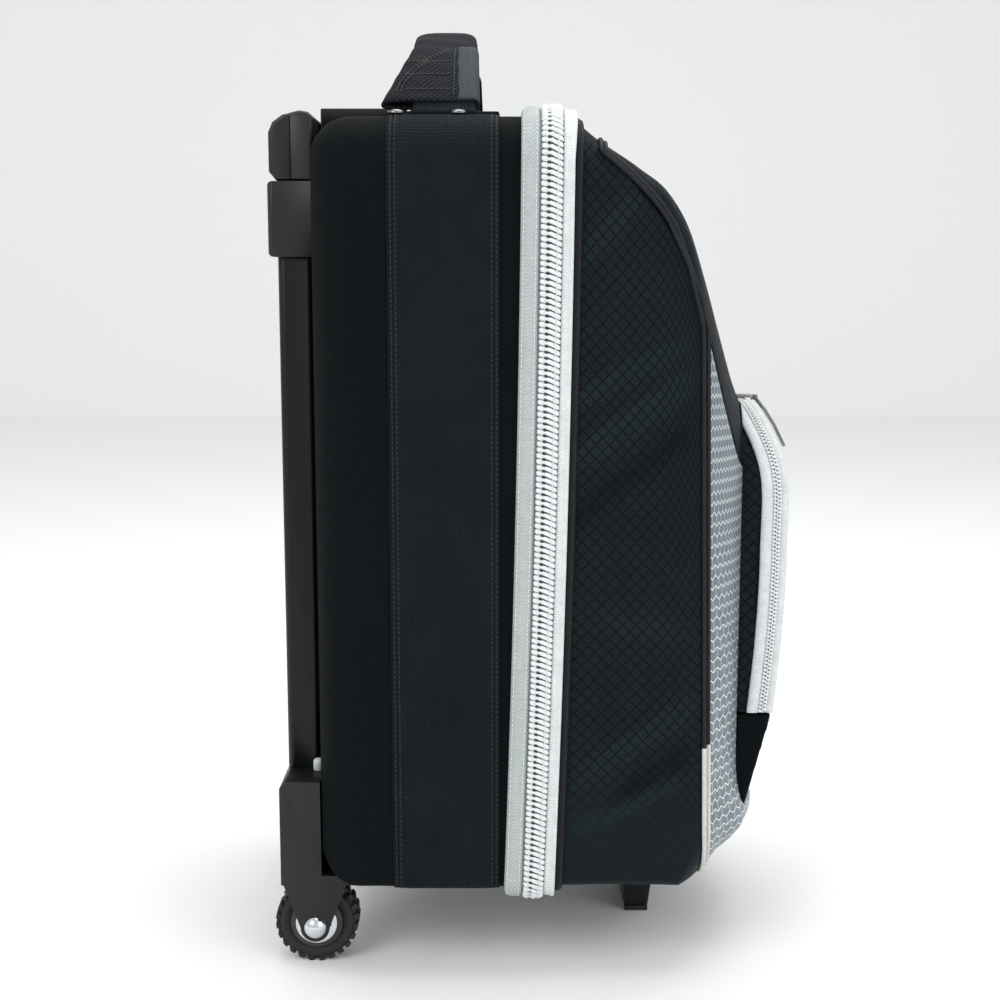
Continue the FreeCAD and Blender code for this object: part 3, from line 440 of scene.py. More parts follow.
WEB_X0, WEB_X1 = -102.5, -27.5
fine = around(side_steps=840, top_steps=400, bend_steps=60)
for side, label in ((-1, "near"), (1, "far")):
    p, n = on_skin(np.full(len(fine), -60.0), fine)
    keep = (p[:, 1] * side > HALF_W - CORNER - 6) & (p[:,
                                                       2] > FLOOR + 3) & ~((p[:,
                                                               1] * side < HALF_W - 9) & (p[:, 2] < 337))
    start = np.argmax(~keep & np.roll(keep, -1)) + 1
    order = np.roll(np.arange(len(fine)), -start)
    order = order[keep[order]]
    line = fine[order]
    across = np.linspace(WEB_X0, WEB_X1, 16)
    p, n = on_skin(np.broadcast_to(across, (len(line), 16)), line[:, None])
    if side < 0:
        p, n, line = p[::-1], n[::-1], line[::-1]
    length = np.concatenate([[0], np.cumsum(np.linalg.norm(np.diff(p[:, 0], axis=0), axis=1))])
    even = np.arange(0, length[-1], 0.6)
    p = np.stack([[np.interp(even, length, p[:, j, i]) for i in range(3)] for j in range(16)],
                 0).transpose(2, 0, 1)
    n = np.stack([[np.interp(even, length, n[:, j, i]) for i in range(3)] for j in range(16)],
                 0).transpose(2, 0, 1)
    n /= np.linalg.norm(n, axis=2, keepdims=True)
    edge = np.clip(np.minimum(np.arange(16), 15 - np.arange(16)) / 1.5, 0, 1)[None]
    rib = 0.24 * np.cos(even * 2 * math.pi / 2.4)[:, None] * np.clip(edge, 0.3, 1)
    slack = (fold(p, (-91, 596), (-88, 520), 5.0, 1.1) + fold(p, (-72, 590), (-76, 505), 4.0, -0.8)
             + fold(p, (-60, 596), (-58, 530), 5.0, 1.2) + fold(p, (-42, 590), (-45, 515), 4.0, 0.9)
             + fold(p, (-90, 75), (-84, 120), 5.0, 0.9) + fold(p, (-44, 74), (-50, 118), 5.0, 0.8))
    lift = 1.5 + 0.4 * edge + rib + np.maximum(slack, 0)
    outer = p + n * lift[..., None]
    inner = p + n * 0.3
    run = np.stack(np.broadcast_arrays(even[:, None] * 0.001, (across * 0.001)[None]), -1)
    webbing = sewn_solid("Shoulder_webbing_%s_side" % label, outer, inner, run, wrap=False)
    webbing.data.materials.append(nylon_black)
    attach(webbing, "rear_body")
    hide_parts("webbing_" + label)
    rows = []
    for j in (0.45, 1.1, 13.9, 14.55):
        a, b = int(j), int(j) + 1
        t = j - a
        rows.append((outer[4:-4, a] * (1 - t) + outer[4:-4, b] * t, n[4:-4, a]))
    stitching("Webbing_thread_%s_side" % label, rows, 3.6, 0.75, thread_black, "rear_body")


# ------------------------------------------------------------------------------------------------
# Main zipper, rear half: a padded flange of pale grey herringbone tape stitched to the rear shell,
# with a row of slanted white nylon coil loops along its free edge, held down by a chain stitch.
def ring_path(offset, lift, steps=None):
    """Points and normals on the skin along the zipper, moved sideways and outwards."""
    rows = around(side_steps=300, top_steps=160, bend_steps=24) if steps is None else steps
    x = edge_x(zip_x, rows, offset)
    return on_skin(x, rows, lift)


def strip_ring(name, profile, keep=None):
    """A band swept along the zipper: profile is (sideways, rise) points of a closed outline."""
    rows = around(side_steps=150, top_steps=80, bend_steps=16)
    mid = on_skin(edge_x(zip_x, rows), rows)[0]
    if keep is not None:
        chosen = keep(mid)
        start = np.argmax(~chosen & np.roll(chosen, -1)) + 1
        order = np.roll(np.arange(len(rows)), -start)
        rows = rows[order[chosen[order]]]
        mid = on_skin(edge_x(zip_x, rows), rows)[0]
    grid = np.stack([on_skin(edge_x(zip_x, rows, a), rows, b)[0] for a, b in profile], 1)
    run = np.concatenate([[0], np.cumsum(np.linalg.norm(np.diff(mid, axis=0), axis=1))])
    if keep is None:
        run = np.append(run, run[-1] + np.linalg.norm(mid[0] - mid[-1]))
    round_trip = len(profile)
    side = np.concatenate([[0], np.cumsum(np.linalg.norm(np.diff(np.array(profile + [profile[0]]), axis=0),
                                                         axis=1))])
    rows_n = len(rows)
    faces, uvs = [], []
    for i in range(rows_n if keep is None else rows_n - 1):
        k = (i + 1) % rows_n
        for j in range(round_trip):
            m = (j + 1) % round_trip
            faces.append((i * round_trip + j, i * round_trip + m, k * round_trip + m, k * round_trip + j))
            uvs.append(((run[i] * 0.001, side[j] * 0.001), (run[i] * 0.001, side[j + 1] * 0.001),
                        (run[i + 1] * 0.001, side[j + 1] * 0.001), (run[i + 1] * 0.001, side[j] * 0.001)))
    if keep is not None:
        for i in (0, rows_n - 1):
            faces.append(tuple(i * round_trip + j for j in range(round_trip)))
            uvs.append(tuple((run[i] * 0.001, side[j] * 0.001) for j in range(round_trip)))
    return new_object(name, grid.reshape(-1, 3), faces, uvs)


def away_from_hinge(p):
    """True along the zipper, false along the sewn hinge on the far side."""
    return ~((p[:, 1] > 118) & (p[:, 2] > 66) & (p[:, 2] < 608)) | (p[:, 1] < 118)


# Herringbone zipper tape, pale grey polyester
tape_cloth, tree, surface = blank("Pale grey herringbone zipper tape", 0.8, tone="#c9cfcf",
                                  Specular_IOR_Level=0.25)
u, v = flat_cut(tree)
zigzag = calc(tree, "PINGPONG", v, 0.0029)
chevron = calc(tree, "SINE", calc(tree, "MULTIPLY",
                                  calc(tree, "ADD", u,
                                       calc(tree, "MULTIPLY", zigzag, 1.1)), 2 * math.pi / 0.0024))
fuzz = add(tree, "ShaderNodeTexNoise", Vector=add(tree, "ShaderNodeTexCoord").outputs["Object"],
           Scale=160.0, Detail=3.0).outputs[0]
tone_level = calc(tree, "ADD", calc(tree, "MULTIPLY_ADD", chevron, 0.3, 0.35),
                  calc(tree, "MULTIPLY", fuzz, 0.5))
# Painted shade: the band of tape under the coil loops is coloured a darker grey (#8b9293), standing in for
# the shade the coil casts on it.
painted_coil_shade = calc(tree, "MULTIPLY", calc(tree, "GREATER_THAN", v, 0.0166), calc(tree, "LESS_THAN", v, 0.0252))
tree.links.new(mixed(tree, painted_coil_shade, mixed(tree, tone_level, "#959d9c", "#c3c9c8"), "#8b9293"),
               surface.inputs["Base Color"])
bumped(tree, surface, calc(tree, "ADD", chevron, fuzz), 0.0004, 0.7)

# White nylon zipper coil
coil_white = blank("White nylon zipper coil", 0.38, tone="#dcdfdf", Specular_IOR_Level=0.45)[0]

# White sewing thread
thread_white = blank("White sewing thread", 0.6, tone="#d5d9d8")[0]

rear_tape = strip_ring("Zipper_tape_rear", [(-20.5, 0.3), (-20.2, 3.0), (-19.0, 5.2), (-16.0, 6.6),
                                            (-12.0, 6.9),
                                              (-9.6, 6.4), (-8.4, 5.2), (-7.6, 4.6), (-3.0, 4.6), (-0.3,
                                                      4.6), (-0.3, 0.3)])
rear_tape.data.materials.append(tape_cloth)
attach(rear_tape, "rear_body")
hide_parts("zip_tape_rear")
stitching("Coil_thread_rear", [ring_path(-3.9, 8.3)], 4.0, 0.8, thread_white, "rear_body")
stitch_lines = [ring_path(-18.6, 5.6), ring_path(-10.2, 6.6)]
stitching("Tape_thread_rear", stitch_lines, 3.4, 0.6, thread_white, "rear_body")


def coil_loop(name, reach, lean):
    """One loop of nylon coil: a rounded leg that leans along the zipper, with a bump at its head."""
    spots, faces = [], []
    waist = 1.5 if lean > 1 else 0.9
    stops = ((-1.0, 0.5, 0.2), (-0.94, 1.3, 0.6), (-0.78, 1.65, 1.1), (-0.55, 1.6, 1.3), (-0.36, waist, 1.3),
             (-0.2, waist, 1.5), (-0.08, 1.4, 1.9), (0.04, 1.3, 2.0), (0.12, 0.9, 1.7), (0.15, 0.3, 1.3))
    for share, fat, rise in stops:
        wide = 1.12 * fat
        spots += [(lean * (share + 0.5) * 2 + wide * math.cos(2 * math.pi * i / 10), share * reach,
                   rise + 0.95 * fat * math.sin(2 * math.pi * i / 10)) for i in range(10)]
    for r in range(len(stops) - 1):
        faces += [(r * 10 + i, r * 10 + (i + 1) % 10, (r + 1) * 10 + (i + 1) % 10,
                   (r + 1) * 10 + i) for i in range(10)]
    faces += [tuple(range(10)), tuple((len(stops) - 1) * 10 + i for i in range(10))]
    return new_object(name, spots, faces)


def coil_row(name, front_side, body):
    """All the loops of one half of the zipper."""
    rows = around(side_steps=300, top_steps=160, bend_steps=24)
    p, n = on_skin(edge_x(zip_x, rows), rows, 5.4)
    chosen = away_from_hinge(p)
    start = np.argmax(~chosen & np.roll(chosen, -1)) + 1
    order = np.roll(np.arange(len(rows)), -start)
    order = order[chosen[order]]
    p, n = p[order], n[order]
    spots, along, up = path_steps(p, n, 4.0)
    if front_side:
        spots = spots + along / np.linalg.norm(along, axis=1)[:, None] * 2.0
        along = -along
    test = np.cross(up, along)
    if np.mean(test[:, 0]) * (-1 if front_side else 1) < 0:
        turned = facing(along, up)
    else:
        turned = facing(-along, up)
    row = repeated(name, spots, turned, coil_loop(name + " loop", 7.2, 0.5 if front_side else 1.5),
                   coil_white, 0.02)
    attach(row, body)
    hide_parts("zip_coil_front" if front_side else "zip_coil_rear")
    return row


coil_row("Zipper_coil_rear", False, "rear_body")


# ------------------------------------------------------------------------------------------------
# Main zipper, front half: the matching tape on the lid, whiter and smoother, with a raised bright
# edge, and its own row of coil loops set half a step along.
tape_white, tree, surface = blank("White zipper tape, front", 0.75, tone="#dfe3e2", Specular_IOR_Level=0.25)
u, v = flat_cut(tree)
fine_rib = calc(tree, "SINE", calc(tree, "MULTIPLY", u, 2 * math.pi / 0.0016))
fuzz = add(tree, "ShaderNodeTexNoise", Vector=add(tree, "ShaderNodeTexCoord").outputs["Object"],
           Scale=140.0, Detail=3.0).outputs[0]
# Painted shade: the band of tape under the coil loops is coloured a darker grey (#6e7577), standing in for
# the shade the coil casts on it.
painted_coil_shade = calc(tree, "MULTIPLY", calc(tree, "GREATER_THAN", v, 0.004), calc(tree, "LESS_THAN", v, 0.0112))
tree.links.new(mixed(tree, painted_coil_shade, mixed(tree, calc(tree, "MULTIPLY_ADD", fine_rib, 0.15, fuzz), "#c0c5c5",
                                      "#e6e8e8"), "#6e7577"), surface.inputs["Base Color"])
bumped(tree, surface, calc(tree, "ADD", fine_rib, fuzz), 0.0003, 0.6)
front_tape = strip_ring("Zipper_tape_front", [(0.3, 0.3), (0.3, 4.4), (6.4, 4.4), (7.4, 4.7), (8.2, 5.6),
                                              (9.6, 6.0),
                                               (12.2, 6.2), (13.2, 7.0), (14.4, 7.0), (15.0, 6.0), (15.2,
                                                       3.0), (15.2, 0.3)])
front_tape.data.materials.append(tape_white)
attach(front_tape, "lid")
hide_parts("zip_tape_front")
coil_row("Zipper_coil_front", True, "lid")
stitching("Coil_thread_front", [ring_path(3.9, 8.3)], 4.0, 0.8, thread_white, "lid")
stitching("Tape_thread_front", [ring_path(11.0, 6.1)], 3.4, 0.55, thread_white, "lid")


# ------------------------------------------------------------------------------------------------
# Lid gusset: the four side walls of the lid in charcoal diamond ripstop over foam, soft enough
# to hold a few diagonal creases. Its rear edge is sewn to the front tape, its front to the piping.
def piping_line(z):
    """Where the lid's gusset meets its crowned front, in x over height."""
    straight = SPLIT + 0.735 * LID_D - 0.020 * (z - FLOOR)
    above = np.maximum(z - 449.0, 0)
    return np.maximum(straight - (0.0017 + 0.0000175 * above) * above ** 2, 41.0)


def ripstop(name, base_low, base_high, line_tone, cell, fade=True):
    """Plain weave with a raised diamond grid of heavier thread."""
    made, tree, surface = blank(name, 0.58, Specular_IOR_Level=0.12)
    u, v = flat_cut(tree)
    lines = []
    for sign in ("ADD", "SUBTRACT"):
        across = calc(tree, "DIVIDE", calc(tree, sign, u, v), cell)
        gap = calc(tree, "ABSOLUTE", calc(tree, "SUBTRACT", calc(tree, "FRACT", across), 0.5))
        lines.append(calc(tree, "SMOOTH_MIN", calc(tree, "MULTIPLY",
                                                   calc(tree, "MAXIMUM", calc(tree, "SUBTRACT", gap, 0.41),
                                                        0.0), 16.0), 1.0, 0.1))
    grid = calc(tree, "MAXIMUM", lines[0], lines[1])
    crossing = calc(tree, "MULTIPLY", lines[0], lines[1])
    low = calc(tree, "SUBTRACT", 1.0, add(tree, "ShaderNodeMapRange", i0=u, i1=-0.225, i2=-0.185).outputs[0])
    grid = add(tree, "ShaderNodeMix", i0=calc(tree, "MULTIPLY", low, 0.8 if fade else 0.0), i2=grid,
               i3=crossing).outputs[0]
    spot = add(tree, "ShaderNodeTexCoord").outputs["Object"]
    cloud = add(tree, "ShaderNodeTexNoise", Vector=spot, Scale=11.0, Detail=5.0).outputs[0]
    grain = add(tree, "ShaderNodeTexNoise", Vector=spot, Scale=500.0, Detail=2.0).outputs[0]
    level = calc(tree, "ADD", calc(tree, "MULTIPLY", cloud, 0.8),
                 calc(tree, "MULTIPLY_ADD", grain, 0.5, -0.15))
    # Painted crease shading: a per-point crease attribute lightens the ridges as a painted highlight and
    # darkens the valleys as painted shade.
    painted_crease_shading = add(tree, "ShaderNodeAttribute", {"attribute_name": "painted_crease_shading"}).outputs["Fac"]
    ground = mixed(tree, calc(tree, "ADD", level, calc(tree, "MULTIPLY", painted_crease_shading, 1.1)), base_low, base_high)
    tree.links.new(mixed(tree, calc(tree, "MULTIPLY", grid, 0.95), ground, line_tone),
                   surface.inputs["Base Color"])
    bumped(tree, surface, calc(tree, "MULTIPLY_ADD", grid, 1.5,
                               calc(tree, "ADD", grain, calc(tree, "MULTIPLY", cloud, 2.0))), 0.0005, 0.7)
    return made


# Charcoal diamond ripstop nylon
ripstop_black = ripstop("Charcoal diamond ripstop nylon", "#040b0e", "#101c22", "#010203", 0.0097)

def belly(p):
    """How far the crown's lower corners are pushed forward by the padding under the toe."""
    return 10.0 * np.exp(-((p[..., 2] - 100) / 23) ** 2) * np.clip((p[..., 0] - 116) / 26, 0, 1) ** 1.5


walk = around(side_steps=120, top_steps=50, bend_steps=14)
x0, x1 = edge_x(zip_x, walk, 0.2), edge_x(piping_line, walk)
t = np.linspace(0, 1, 60)[:, None]
outer, normal = on_skin(x0 * (1 - t) + x1 * t, walk[None])
inner = outer - normal * 6.0
near_side = np.clip((-outer[..., 1] - 120) / 20, 0, 1)
creases = (fold(outer, (14, 366), (108, 432), 7, 4.0) + fold(outer, (20, 330), (104, 396), 7, -2.6)
           + fold(outer, (16, 410), (96, 452), 6, 2.6) + fold(outer, (30, 150), (112, 205), 7, 3.8)
           + fold(outer, (40, 120), (112, 176), 6, -2.4) + fold(outer, (26, 112), (106, 150), 6, 2.4)
           + fold(outer, (24, 505), (70, 556), 8, 1.6) + fold(outer, (20, 270), (110, 250), 12, 1.0))
far_creases = fold(outer, (20, 400), (100, 330), 10, 1.8) + fold(outer, (20, 180), (100, 230), 9, 1.5)
hold = np.clip(t * 8, 0, 1) * np.clip((1 - t) * 7, 0, 1)
sag = -1.4 * np.sin(math.pi * t) * near_side
outer += normal * (hold * (creases * near_side + far_creases * np.clip((outer[..., 1] - 120) / 20, 0,
        1)) + sag)[..., None]
lid_gusset = sewn_solid("Lid_gusset", outer, inner, cloth_uv(outer))
# Crease heights stored per point, which the ripstop shader turns into painted highlights on the ridges and
# painted shade in the valleys.
painted_crease_shading = lid_gusset.data.attributes.new("painted_crease_shading", "FLOAT", "POINT")
painted_crease_shading.data.foreach_set("value", np.tile((hold * creases * near_side / 3.0).ravel(), 2).astype(np.float32))
lid_gusset.data.materials.append(ripstop_black)
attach(lid_gusset, "lid")
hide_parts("lid_gusset")

# Dark binding sewn over the raw edge beside the front tape
binding_cloth = blank("Black grosgrain binding", 0.7, tone="#0b0c0f", Specular_IOR_Level=0.3)[0]
binding = strip_ring("Gusset_binding", [(15.2, 0.1), (15.2, 2.4), (16.4, 3.0), (19.0, 2.8), (20.4, 1.8),
                                        (20.8, 0.1)])
binding.data.materials.append(binding_cloth)
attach(binding, "lid")
stitching("Binding_thread", [ring_path(19.0, 2.8)], 3.6, 0.6, thread_black, "lid")


# ------------------------------------------------------------------------------------------------
# Lid front panel: the crowned front of the lid, moulded foam faced in the same charcoal ripstop,
# most of it hidden by the silver panels and the pocket.
x0 = edge_x(piping_line, walk)
t = np.linspace(0, 1, 44)[:, None] ** 0.85
outer, normal = on_skin(x0 * (1 - t) + (SPLIT + LID_D - 0.05) * t, walk[None])
centre = outer[-1].mean(0)
rings = [outer]
for s in (0.9, 0.7, 0.5, 0.3, 0.12):
    ring = centre + (outer[-1] - centre) * s
    rings.append(ring[None])
outer = np.concatenate(rings)
normal = np.concatenate([normal, np.tile(np.array([[[1.0, 0, 0]]]), (5, len(walk), 1))])
normal[43] = (normal[43] + (1, 0, 0)) / np.linalg.norm(normal[43] + (1, 0, 0), axis=-1, keepdims=True)
outer[..., 0] += belly(outer)
inner = outer - normal * 5.5
front_panel = sewn_solid("Lid_front_panel", outer, inner, cloth_uv(outer), caps=(False, True))
front_panel.data.materials.append(ripstop_black)
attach(front_panel, "lid")
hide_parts("lid_front_panel")


# ------------------------------------------------------------------------------------------------
# Silver panels: a coated wave ripstop sewn on each side of the crown between the piping and the
# pocket, running down under the toe.
# Silver wave ripstop nylon
silver_cloth, tree, surface = blank("Silver wave ripstop nylon", 0.42, metal=0.25, Specular_IOR_Level=0.5)
u, v = flat_cut(tree)
cell_high, cell_wide = 0.0074, 0.010
sway = calc(tree, "MULTIPLY", calc(tree, "PINGPONG", v, cell_wide / 2), 0.6)
across = calc(tree, "FRACT", calc(tree, "DIVIDE", calc(tree, "ADD", u, sway), cell_high))
white_line = calc(tree, "LESS_THAN", across, 0.15)
dark_line = calc(tree, "MULTIPLY", calc(tree, "GREATER_THAN", across, 0.15),
                 calc(tree, "LESS_THAN", across, 0.27))
row = calc(tree, "FLOOR", calc(tree, "DIVIDE", calc(tree, "ADD", u, sway), cell_high))
stagger = calc(tree, "MULTIPLY", calc(tree, "PINGPONG", row, 1.0), 0.5)
rung = calc(tree, "LESS_THAN", calc(tree, "FRACT",
                                    calc(tree, "ADD", calc(tree, "DIVIDE", v, cell_wide), stagger)), 0.12)
cloud = add(tree, "ShaderNodeTexNoise", Vector=add(tree, "ShaderNodeTexCoord").outputs["Object"],
            Scale=60.0, Detail=4.0).outputs[0]
ground = mixed(tree, cloud, "#57636a", "#78848a")
ground = mixed(tree, calc(tree, "MULTIPLY", dark_line, 0.75), ground, "#555d61")
ground = mixed(tree, calc(tree, "MULTIPLY", rung, 0.55), ground, "#c3c9cb")
tree.links.new(mixed(tree, calc(tree, "MULTIPLY", white_line, 0.9), ground, "#dde1e2"),
               surface.inputs["Base Color"])
bumped(tree, surface, calc(tree, "ADD", white_line, calc(tree, "MULTIPLY", cloud, 1.5)), 0.0004, 0.7)


def silver_edge(rows):
    """x at which the silver stops on each row: beside the pocket, or at its slanted top."""
    far_x = np.full(len(rows), SPLIT + LID_D - 4.0)
    steps = np.linspace(0, 1, 400)
    start = edge_x(piping_line, rows)
    for i, row in enumerate(rows):
        x = start[i] + (far_x[i] - start[i]) * steps
        p = on_skin(x, np.broadcast_to(row, (400, 4)))[0]
        top_line = np.interp(p[:, 0], (108.0, 118.0, 130.0, 140.0, 145.0),
                             (482.0, 466.0, 444.0, 419.0, 396.0))
        blocked = ((np.abs(p[:, 1]) < 98.4) & (p[:, 2] > 113)) | (p[:, 2] > top_line) | (p[:, 0] > 156.5)
        blocked |= (np.abs(p[:, 1]) < 60)
        far_x[i] = x[max(np.argmax(blocked) - 1, 1)] if blocked.any() else far_x[i]
    return start, far_x


panels = []
for side in (-1, 1):
    rows = around(side_steps=260, top_steps=10, bend_steps=60)
    x = edge_x(piping_line, rows)
    p = on_skin(x, rows)[0]
    chosen = (p[:, 1] * side > 80) & (p[:, 2] < 481) & (p[:, 2] > 71.0)
    start = np.argmax(~chosen & np.roll(chosen, -1)) + 1
    order = np.roll(np.arange(len(rows)), -start)
    rows = rows[order[chosen[order]]]
    a, b = silver_edge(rows)
    b = np.maximum(np.convolve(np.pad(b, 2, mode="edge"), np.ones(5) / 5, "valid"), a + 2.6)
    t = np.linspace(0, 1, 26)[:, None]
    xs = (a + 2.2) * (1 - t) + b * t
    outer = on_skin(xs, rows[None], 0.9)[0]
    inner = on_skin(xs, rows[None], 0.1)[0]
    outer[..., 0] += belly(outer)
    inner[..., 0] += belly(inner)
    uv = np.stack(np.broadcast_arrays((outer[..., 2] - 337) * 0.001,
                                      np.concatenate([np.zeros((1, len(rows))), np.cumsum(
        np.linalg.norm(np.diff(outer, axis=0), axis=2), 0)]) * 0.001), -1)
    panels.append(sewn_solid("Silver_panel_%d" % side, outer, inner, uv, wrap=False))
bpy.ops.object.select_all(action="DESELECT")
for panel in panels:
    panel.select_set(True)
bpy.context.view_layer.objects.active = panels[0]
bpy.ops.object.join()
silver = panels[0]
silver.name = "Silver_panels"
silver.data.materials.append(silver_cloth)
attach(silver, "lid")
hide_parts("silver_panels")


# ------------------------------------------------------------------------------------------------
# Piping: a double cord in the seam between the gusset and the crown, dark all the way round but
# for a pale length near each lower corner.
def tube_ring(name, x, rows, lift, radius, closed=True, sides=10):
    """A round cord laid along the skin."""
    p, n = on_skin(x, rows, lift)
    d = np.roll(p, -1, 0) - np.roll(p, 1, 0) if closed else np.gradient(p, axis=0)
    d /= np.linalg.norm(d, axis=1, keepdims=True)
    b = np.cross(d, n)
    b /= np.linalg.norm(b, axis=1, keepdims=True)
    ring = np.stack([p + radius * (n * math.cos(a) + b * math.sin(a))
                     for a in np.linspace(0, 2 * math.pi, sides, endpoint=False)], 1)
    count = len(rows)
    faces = [(i * sides + j, i * sides + (j + 1) % sides, (i + 1) % count * sides + (j + 1) % sides,
              (i + 1) % count * sides + j)
             for i in range(count if closed else count - 1) for j in range(sides)]
    if not closed:
        faces += [tuple(range(sides)), tuple((count - 1) * sides + j for j in range(sides))]
    return new_object(name, ring.reshape(-1, 3), faces)


def pipe_cloth(name, tone, dark):
    """Bias tape wrapped round a cord, with a fine noise grain."""
    made, tree, surface = blank(name, 0.62, tone=tone, Specular_IOR_Level=0.3)
    spot = add(tree, "ShaderNodeTexCoord").outputs["Object"]
    fuzz = add(tree, "ShaderNodeTexNoise", Vector=spot, Scale=300.0, Detail=3.0).outputs[0]
    tree.links.new(mixed(tree, fuzz, dark, tone), surface.inputs["Base Color"])
    bumped(tree, surface, fuzz, 0.0003, 0.6)
    return made


# Black bias-tape piping
piping_black = pipe_cloth("Black bias-tape piping", "#15171b", "#070809")
# Off-white bias-tape piping
piping_white = pipe_cloth("Off-white bias-tape piping", "#d9d8d2", "#a8a7a1")
rows = around(side_steps=220, top_steps=100, bend_steps=30)
heights = on_skin(edge_x(piping_line, rows), rows)[0]
for label, pale in (("dark", False), ("pale", True)):
    pieces = []
    for offset in (-1.5, 1.5):
        if pale:
            for side in (-1, 1):
                chosen = (heights[:, 2] < 173) & (heights[:, 2] > 71) & (heights[:, 1] * side > 100)
                start = np.argmax(~chosen & np.roll(chosen, -1)) + 1
                order = np.roll(np.arange(len(rows)), -start)
                part = rows[order[chosen[order]]]
                pieces.append(tube_ring("Piping", edge_x(piping_line, part, offset), part, 1.2, 1.75,
                                        closed=False))
        else:
            pieces.append(tube_ring("Piping", edge_x(piping_line, rows, offset), rows, 0.9, 1.65))
    bpy.ops.object.select_all(action="DESELECT")
    for piece in pieces:
        piece.select_set(True)
    bpy.context.view_layer.objects.active = pieces[0]
    bpy.ops.object.join()
    pipe = pieces[0]
    pipe.name = "Piping_" + label
    pipe.data.materials.append(piping_white if pale else piping_black)
    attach(pipe, "lid")
    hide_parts("piping_" + label)


# ------------------------------------------------------------------------------------------------
# Front pocket: a diamond ripstop side wall standing on the crown, and a padded twill front that
# unzips and folds down about its lower edge.
POCKET_X, POCKET_LOW, POCKET_HIGH, POCKET_HALF = 179.5, 182.0, 403.0, 97.0
pocket_keys = smooth_table([182.0, 237.2, 303.6, 367.6, 403.0], [-7.0, -2.2, 0.0, -3.2, -17.0])


def pocket_front_x(z):
    """x of the pocket's bulging front at a height."""
    return POCKET_X + np.interp(z, *pocket_keys)


def arch(inset=0.0, side_steps=60, bend_steps=24, top_steps=30, floor_steps=0):
    """The pocket's outline from the near lower corner over the top, with outward normals."""
    half, r, high = POCKET_HALF - inset, 55.0 - inset, POCKET_HIGH - inset
    low = POCKET_LOW + max(inset, 0.5)
    p = [(-half, low + (high - r - low) * i / side_steps, -1, 0) for i in range(side_steps)]
    for cy, start in ((-half + r, 180), (half - r, 90)):
        p += [(cy + r * math.cos(math.radians(start - 90 * i / bend_steps)),
               high - r + r * math.sin(math.radians(start - 90 * i / bend_steps)),
               math.cos(math.radians(start - 90 * i / bend_steps)),
               math.sin(math.radians(start - 90 * i / bend_steps)))
              for i in range(bend_steps + 1)]
        if start == 180:
            p += [(-half + r + (2 * half - 2 * r) * i / top_steps, high, 0, 1) for i in range(1, top_steps)]
    p += [(half, high - r - (high - r - low) * (i + 1) / side_steps, 1, 0) for i in range(side_steps)]
    p += [(half - 2 * half * i / (floor_steps + 1), low, 0, -1) for i in range(1, floor_steps + 1)]
    return np.array(p)


def crown_x(y, z):
    """x at which the crown's skin is met at a place seen from the front."""
    xs = np.linspace(60, SPLIT + LID_D, 600)
    w, low, high, r = section(xs)
    dy = np.abs(np.asarray(y))[..., None] - (w - r)
    dz = np.abs(np.asarray(z)[..., None] - (low + high) / 2) - ((high - low) / 2 - r)
    inside = (np.hypot(np.maximum(dy, 0), np.maximum(dz, 0)) < r) & (dy < r) & (dz < r)
    return xs[np.maximum(inside.sum(-1) - 1, 0)]


line = arch(floor_steps=30)
base = crown_x(line[:, 0], line[:, 1]) - 1.0
t = np.linspace(0, 1, 16)[:, None]
front_edge = pocket_front_x(line[:, 1]) - 9.0
x = base * (1 - t) + np.maximum(front_edge, base + 1) * t
soft = 1.0 * np.sin(math.pi * t) * np.sin(line[:, 1] / 19.0 + line[:, 0] / 23.0)
outer = np.stack([x, line[:, 0] + line[:, 2] * soft, line[:, 1] + line[:, 3] * soft], -1)
inner = np.stack([x, line[:, 0] - line[:, 2] * 3.0 + 0 * x, line[:, 1] - line[:, 3] * 3.0 + 0 * x], -1)
run = np.concatenate([[0], np.cumsum(np.linalg.norm(np.diff(line[:, :2], axis=0), axis=1))])
run = np.append(run, run[-1] + 6.0) - (337 - POCKET_LOW) * 1.0
uv = np.stack(np.broadcast_arrays(run * 0.001, np.concatenate([x, x[:, :1]], 1) * 0.001), -1)
pocket_gusset = sewn_solid("Pocket_side_wall", outer, inner, uv)
pocket_gusset.data.materials.append(ripstop_black)
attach(pocket_gusset, "lid")
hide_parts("pocket_gusset")

centre = np.array([0.0, 285.0])
levels = [(1.0, 8.4), (1.0, 5.5), (0.998, 3.2), (0.985, 1.3), (0.965, 0.4),
          (0.94, 0.0)] + [(s, 0.0) for s in (0.88, 0.8, 0.7, 0.58, 0.45, 0.3, 0.15, 0.05)]
outer, inner = [], []
for share, back in levels:
    q = centre + (line[:, :2] - centre) * share
    outer.append(np.stack([pocket_front_x(q[:, 1]) - back, q[:, 0], q[:, 1]], -1))
    q = centre + (line[:, :2] - centre) * min(share, 1.0) * 0.968
    depth = 8.4 if back > 3 else 3.2
    inner.append(np.stack([pocket_front_x(q[:, 1]) - depth, q[:, 0], q[:, 1]], -1))
outer, inner = np.array(outer), np.array(inner)
uv = np.concatenate([outer[:, :, (2, 1)], outer[:, :1, (2, 1)]], 1) * 0.001
pocket_flap = sewn_solid("Pocket_front", outer, inner, uv, caps=(False, True))
pocket_flap.data.materials.append(black_twill)
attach(pocket_flap, "pocket_front")
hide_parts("pocket_flap")
mouth = arch(inset=5.0)
face = np.stack([pocket_front_x(mouth[:, 1]) - 0.1, mouth[:, 0], mouth[:, 1]], 1)
stitching("Pocket_front_thread", [(face, np.tile([1.0, 0, 0], (len(face), 1)))], 3.6, 0.7, thread_black,
          "pocket_front")


